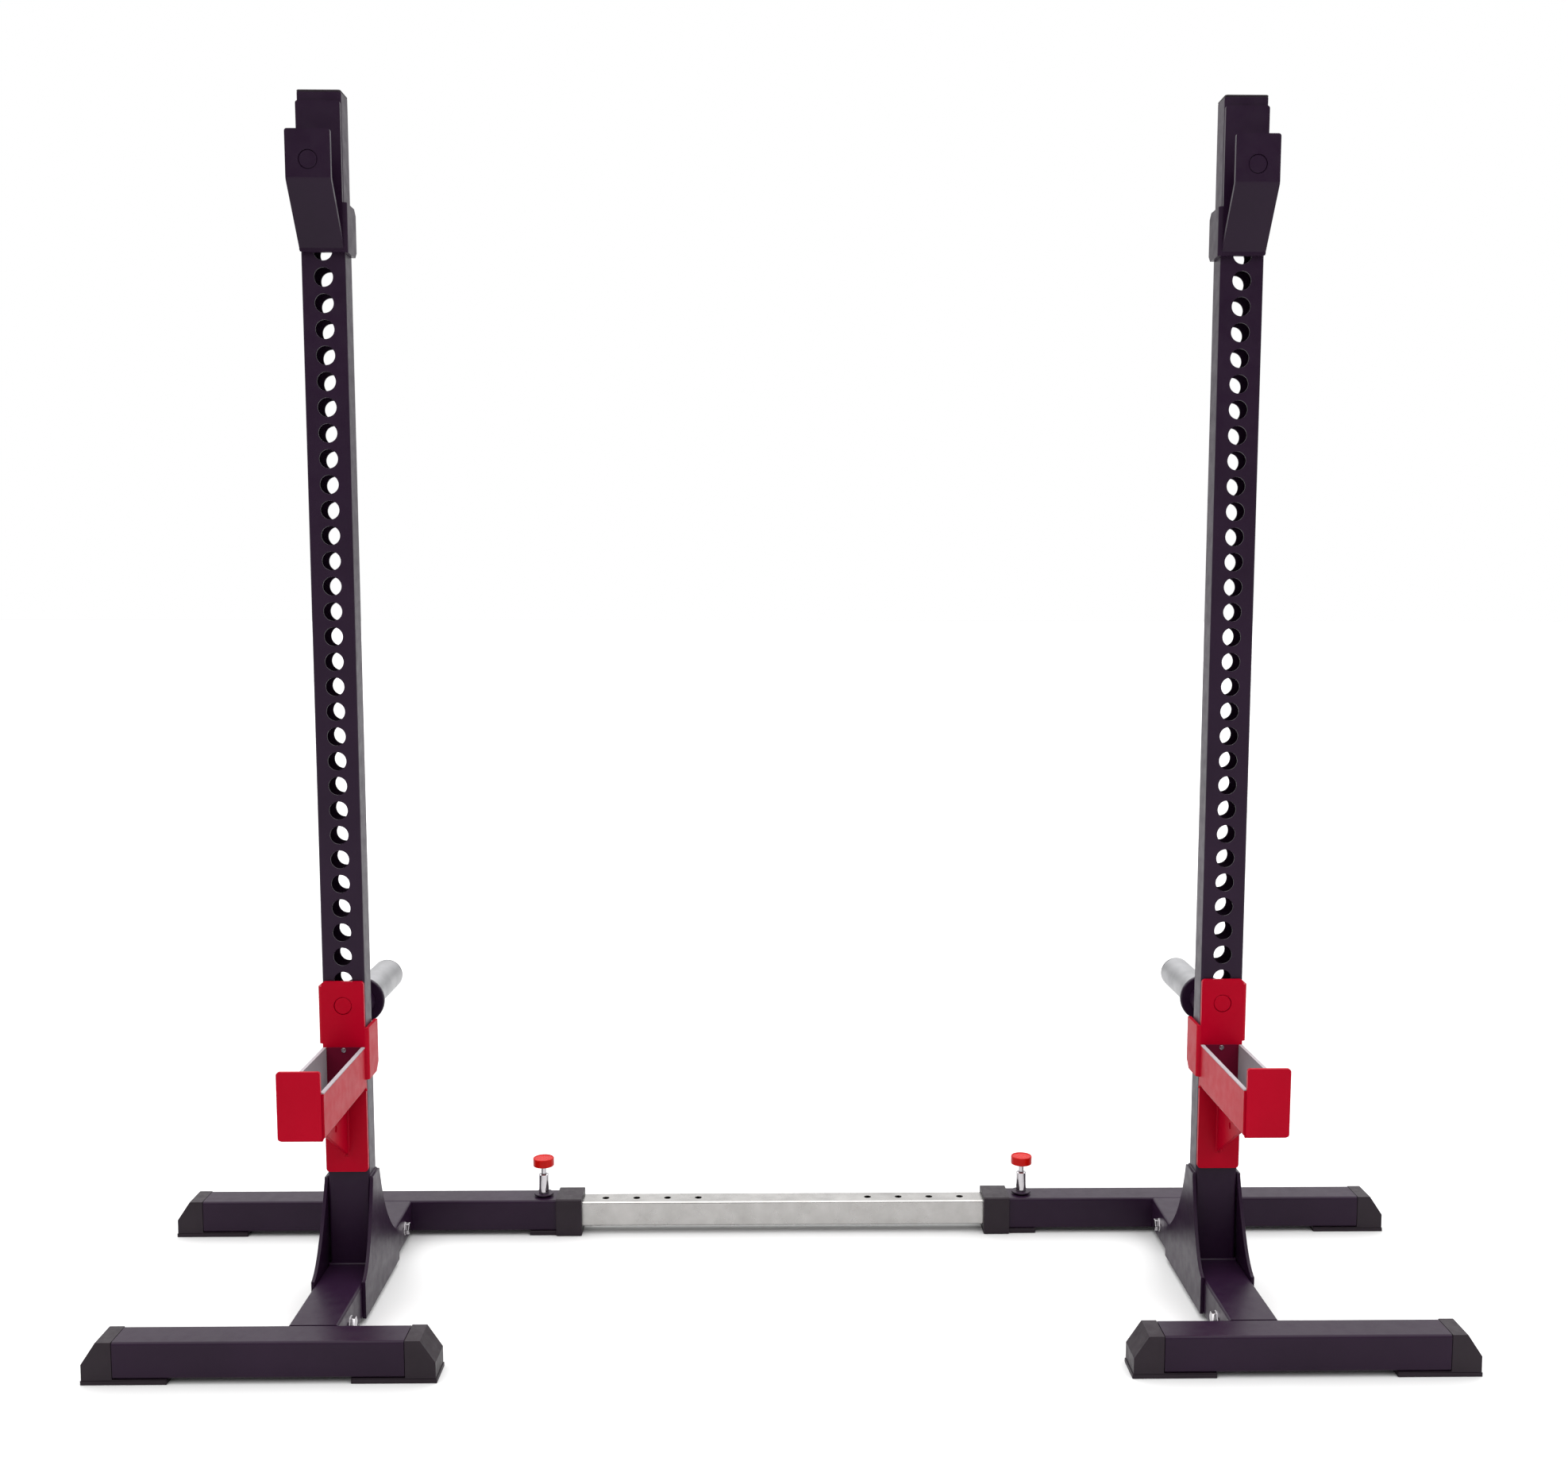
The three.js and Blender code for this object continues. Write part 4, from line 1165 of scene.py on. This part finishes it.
# The hook
HOOK_TOP = 0.091
HOOK_BOTTOM = -0.108
HOOK_CORNER = 0.0035
HOOK_LIP_REACH = 0.062
HOOK_LIP_TOP = 0.0395
HOOK_LIP_BOTTOM = -0.025
HOOK_LIP_BEND = 0.005
HOOK_SLANT_FOOT = -0.107
HOOK_SLEEVE_RADIUS = 0.0153
HOOK_SLEEVE_EDGE = 0.0005
HOOK_EAR_REACH = 0.045
HOOK_EAR_CHAMFER = 0.008
HOOK_INNER_EAR_TOP = -0.042
HOOK_OUTER_EAR_TOP = 0.047
HOOK_OUTER_EAR_BOTTOM = 0.002


def build_hook():
    place = holder_place("right_hook_pin")
    hook = rounded_plate(
        "hook", (-half_width, -HOLDER_PLATE, HOOK_BOTTOM), (half_width, 0, HOOK_TOP), "y", HOOK_CORNER,
    )
    line = [
        (-HOOK_LIP_REACH, HOOK_LIP_TOP),
        (-HOOK_LIP_REACH, HOOK_LIP_BOTTOM),
        (-HOLDER_PLATE / 2, HOOK_SLANT_FOOT),
    ]
    lip = plate("lip", "x", bent(line, HOLDER_PLATE, HOOK_LIP_BEND), -half_width, half_width)
    round_corners(lip, "y", HOOK_CORNER, lambda at: at.z > HOOK_LIP_TOP - HOOK_CORNER)
    behind = block(
        "behind", (-half_width - OVERRUN, -HOLDER_PLATE / 2, HOOK_BOTTOM - OVERRUN),
        (half_width + OVERRUN, OVERRUN, 0),
    )
    cut_away(lip, behind)
    join_solids(hook, lip)
    chamfer = HOOK_EAR_CHAMFER
    join_solids(hook, ear(-1, HOOK_BOTTOM, HOOK_INNER_EAR_TOP, HOOK_EAR_REACH, chamfer, chamfer))
    join_solids(hook, ear(1, HOOK_OUTER_EAR_BOTTOM, HOOK_OUTER_EAR_TOP, HOOK_EAR_REACH, chamfer, chamfer))
    cut_away(hook, holder_bore(-HOOK_LIP_REACH))
    soften_edges(hook, HOLDER_EDGE)
    finish_pair(moved(hook, place), "j_hook_plate", black_paint, "hook", ["j_hook"])
    pin = moved(holder_pin(-HOOK_LIP_REACH), place)
    finish_pair(pin, "hook_peg", black_paint, "hook", ["hook_pin"])
    start = HOLDER_PLATE + FIT_GAP - HOOK_LIP_REACH
    end = -HOLDER_PLATE - FIT_GAP
    bore = HOLDER_PIN_RADIUS + FIT_GAP
    edge = HOOK_SLEEVE_EDGE
    sleeve = turned("sleeve", "y", place, [
        (bore, start),
        (HOOK_SLEEVE_RADIUS - edge, start),
        (HOOK_SLEEVE_RADIUS, start + edge),
        (HOOK_SLEEVE_RADIUS, end - edge),
        (HOOK_SLEEVE_RADIUS - edge, end),
        (bore, end),
        (bore, start),
    ])
    finish_pair(sleeve, "hook_bar_sleeve", black_plastic, "hook", ["hook_sleeve"])


# The spotter
SPOTTER_TOP = 0.035
SPOTTER_BOTTOM = -0.244
SPOTTER_CORNER = 0.005
ARM_REACH = 0.225
ARM_TOP = -0.062
ARM_BOTTOM = -0.123
ARM_WALL = 0.003
ARM_BEND = 0.0015
FRONT_PLATE_THICKNESS = 0.005
FRONT_PLATE_TOP = -0.031
FRONT_PLATE_INSET = 0.003
FRONT_PLATE_CORNER = 0.004
WEB_THICKNESS = 0.005
WEB_REACH = 0.167
WEB_DROP = 0.095
WEB_HOLE_RADIUS = 0.005
WEB_HOLE_REACH = 0.069
WEB_HOLE_DROP = 0.037
LINER_WALL = 0.002
LINER_END_GAP = 0.001
LINER_EDGE = 0.0005
# The near-black sheet of painted shade on the back plate inside the channel, and its screw
SHADE_SHEET_THICKNESS = 0.0014
SHEET_SCREW_RADIUS = 0.0035
SHEET_SCREW_RISE = 0.0012
SHEET_SCREW_DROP = 0.0042
SPOTTER_EAR_REACH = 0.050
SPOTTER_EAR_CHAMFER = 0.012
SPOTTER_INNER_EAR_TOP = -0.033
SPOTTER_INNER_EAR_BOTTOM = -0.108
SPOTTER_OUTER_EAR_TOP = 0.028
SPOTTER_OUTER_EAR_BOTTOM = -0.055


def build_spotter_arm(place):
    arm = rounded_plate(
        "arm", (-half_width, -HOLDER_PLATE, SPOTTER_BOTTOM), (half_width, 0, SPOTTER_TOP),
        "y", SPOTTER_CORNER,
    )
    line = [
        (-half_width, ARM_TOP),
        (-half_width, ARM_BOTTOM),
        (half_width, ARM_BOTTOM),
        (half_width, ARM_TOP),
    ]
    join_solids(arm, plate("channel", "y", bent(line, ARM_WALL, ARM_BEND), -ARM_REACH, -HOLDER_PLATE / 2))
    front = rounded_plate(
        "front", (FRONT_PLATE_INSET - half_width, -ARM_REACH - FRONT_PLATE_THICKNESS, ARM_BOTTOM),
        (half_width, -ARM_REACH, FRONT_PLATE_TOP), "y", FRONT_PLATE_CORNER,
    )
    join_solids(arm, front)
    web = plate("web", "x", [
        (-WEB_REACH, ARM_BOTTOM + ARM_WALL / 2),
        (-WEB_REACH, ARM_BOTTOM),
        (-HOLDER_PLATE, ARM_BOTTOM - WEB_DROP),
        (-HOLDER_PLATE / 2, ARM_BOTTOM - WEB_DROP),
        (-HOLDER_PLATE / 2, ARM_BOTTOM + ARM_WALL / 2),
    ], -WEB_THICKNESS / 2, WEB_THICKNESS / 2)
    hole = (-WEB_HOLE_REACH, ARM_BOTTOM - WEB_HOLE_DROP)
    cut_away(web, rod("drill", "x", WEB_HOLE_RADIUS, (-OVERRUN, *hole), (OVERRUN, *hole), HOLE_STEPS))
    join_solids(arm, web)
    reach = SPOTTER_EAR_REACH
    chamfer = SPOTTER_EAR_CHAMFER
    join_solids(arm, ear(-1, SPOTTER_INNER_EAR_BOTTOM, SPOTTER_INNER_EAR_TOP, reach, chamfer, 0))
    join_solids(arm, ear(1, SPOTTER_OUTER_EAR_BOTTOM, SPOTTER_OUTER_EAR_TOP, reach, chamfer, 0))
    cut_away(arm, holder_bore(-HOLDER_PLATE))
    soften_edges(arm, HOLDER_EDGE)
    finish_pair(moved(arm, place), "spotter_arm_plate", red_paint, "spotter", ["spotter_arm"])


def build_spotter_welds(place):
    """Beads where web and channel meet the back plate, and the front plate meets the channel."""
    face = -HOLDER_PLATE
    web_side = WEB_THICKNESS / 2
    seams = {
        "web_inner_weld": ((-web_side, face, ARM_BOTTOM), (-web_side, face, ARM_BOTTOM - WEB_DROP)),
        "web_outer_weld": ((web_side, face, ARM_BOTTOM), (web_side, face, ARM_BOTTOM - WEB_DROP)),
        "arm_weld": ((-half_width, face, ARM_BOTTOM), (half_width, face, ARM_BOTTOM)),
        "front_plate_weld": ((-half_width + FRONT_PLATE_CORNER, -ARM_REACH, ARM_BOTTOM),
                             (half_width - FRONT_PLATE_CORNER, -ARM_REACH, ARM_BOTTOM)),
    }
    for name, (start, end) in seams.items():
        weld = moved(bead(name, seam(start, end)), place)
        finish_pair(weld, f"spotter_{name}", red_paint, "spotter", [])


def build_spotter_shade_sheet(place):
    """A near-black sheet on the back plate inside the channel, painted shade for the channel's shaded back,
    with the screw that holds it.
    """
    side = half_width - ARM_WALL - LINER_WALL - 2 * FIT_GAP
    face = -HOLDER_PLATE - SHADE_SHEET_THICKNESS
    bottom = ARM_BOTTOM + ARM_WALL + LINER_WALL + FIT_GAP
    top = ARM_TOP + LINER_WALL
    shade_sheet = rounded_plate("shade_sheet", (-side, face, bottom), (side, -HOLDER_PLATE, top), "y", LINER_WALL)
    soften_edges(shade_sheet, LINER_EDGE)
    finish_pair(moved(shade_sheet, place), "spotter_shade_sheet", channel_shade_plastic, "spotter", [])
    dome = curve(
        (SHEET_SCREW_RADIUS, LINER_EDGE), (SHEET_SCREW_RADIUS, SHEET_SCREW_RISE), (0, SHEET_SCREW_RISE), CORNER_STEPS,
    )
    profile = [(0, 0), (SHEET_SCREW_RADIUS, 0), *[(across, -up) for across, up in dome]]
    screw = turned("screw", "y", (0, face, top - SHEET_SCREW_DROP), profile, SMALL_STEPS)
    finish_pair(moved(screw, place), "spotter_pad_screw", chrome, "spotter", [])


def build_spotter():
    place = holder_place("right_spotter_pin")
    build_spotter_arm(place)
    build_spotter_welds(place)
    build_spotter_shade_sheet(place)
    pin = moved(holder_pin(-HOLDER_PLATE), place)
    finish_pair(pin, "spotter_peg", red_paint, "spotter", ["spotter_pin"])
    outside = half_width - ARM_WALL - FIT_GAP
    inside = outside - LINER_WALL
    bottom = ARM_BOTTOM + ARM_WALL
    fold = ARM_TOP + LINER_WALL
    inner = [(half_width, fold), (inside, fold), (inside, bottom + LINER_WALL)]
    outer = [(outside, bottom), (outside, ARM_TOP), (half_width, ARM_TOP)]
    outline = inner + flipped(inner) + flipped(outer) + outer
    liner = plate("liner", "y", outline, LINER_END_GAP - ARM_REACH, -HOLDER_PLATE - LINER_END_GAP)
    soften_edges(liner, LINER_EDGE)
    moved(liner, place)
    finish_pair(liner, "spotter_liner_strip", liner_plastic, "spotter", ["spotter_liner"])


build_upright()
build_upright_cap()
build_runner()
build_gusset("outer_gusset", "outer_gusset_plate", 1)
build_gusset("inner_gusset", "inner_gusset_plate", -1)
build_foot()
build_beam()
build_bolts()
build_foot_welds()
build_cap("front_outer_cap", "front_outer_end_cap", 1)
build_cap("front_inner_cap", "front_inner_end_cap", -1)
build_cap("rear_cap", "rear_end_cap", 1)
build_collar()
build_cross_tube()
build_glide_plugs()
build_pop_pin()
build_peg()
build_hook()
build_spotter()


# Camera, in metres, degrees and millimetres of lens
CAMERA_PLACE = (-0.01885, -2.3461, 1.02728)
CAMERA_TURNS = (84.01, -0.057, -0.877)
CAMERA_SENSOR = 36
CAMERA_LENS = 37.85
CAMERA_SHIFT = (-0.00792, 0.02104)

# Floor and light: spans are of a direction's rise or depth, and lights are strengths
FLOOR_REACH = 60
PANEL_SPAN = (0.55, 0.9)
PANEL_LIGHT = 1.0
WALL_LIGHT = 0.25
CEILING_SPAN = (0.3, 0.7)
CEILING_LIGHT = 3.0
WHITE = (1, 1, 1, 1)


def build_camera(scene):
    camera_data = bpy.data.cameras.new("camera")
    camera = bpy.data.objects.new("camera", camera_data)
    scene.collection.objects.link(camera)
    camera.location = CAMERA_PLACE
    camera.rotation_euler = [math.radians(turn) for turn in CAMERA_TURNS]
    camera_data.sensor_width = CAMERA_SENSOR
    camera_data.lens = CAMERA_LENS
    camera_data.shift_x, camera_data.shift_y = CAMERA_SHIFT
    scene.camera = camera


def build_floor():
    deselect_all()
    bpy.ops.mesh.primitive_plane_add(size=2 * FLOOR_REACH)
    floor = bpy.context.object
    floor.name = "floor"
    paper = Shader("floor_paper", Roughness=0.9, Specular_IOR_Level=0.1)
    paper.tint((0.61, 0.61, 0.61), (0.59, 0.59, 0.59), scale=3)
    floor.data.materials.append(paper.material)


def build_studio_light(scene):
    """A bright ceiling, a soft panel behind the stand and dim walls, before a plain white backdrop."""
    world = bpy.data.worlds.new("studio")
    scene.world = world
    world.use_nodes = True
    tree = world.node_tree
    nodes = tree.nodes
    links = tree.links
    direction = nodes.new("ShaderNodeSeparateXYZ")
    links.new(nodes.new("ShaderNodeTexCoord").outputs["Generated"], direction.inputs["Vector"])
    walls = map_range(tree, direction.outputs["Y"], *PANEL_SPAN, WALL_LIGHT, PANEL_LIGHT)
    ceiling = map_range(tree, direction.outputs["Z"], *CEILING_SPAN, WALL_LIGHT, CEILING_LIGHT)
    for node in (walls, ceiling):
        node.interpolation_type = "SMOOTHSTEP"
    links.new(walls.outputs["Result"], ceiling.inputs["To Min"])
    light = nodes["Background"]
    light.inputs["Color"].default_value = WHITE
    links.new(ceiling.outputs["Result"], light.inputs["Strength"])
    plain = nodes.new("ShaderNodeBackground")
    plain.inputs["Color"].default_value = WHITE
    seen = nodes.new("ShaderNodeMixShader")
    links.new(nodes.new("ShaderNodeLightPath").outputs["Is Camera Ray"], seen.inputs["Fac"])
    links.new(light.outputs["Background"], seen.inputs[1])
    links.new(plain.outputs["Background"], seen.inputs[2])
    links.new(seen.outputs["Shader"], nodes["World Output"].inputs["Surface"])


bpy.context.scene.view_settings.view_transform = "Standard"
build_camera(bpy.context.scene)
build_floor()
build_studio_light(bpy.context.scene)
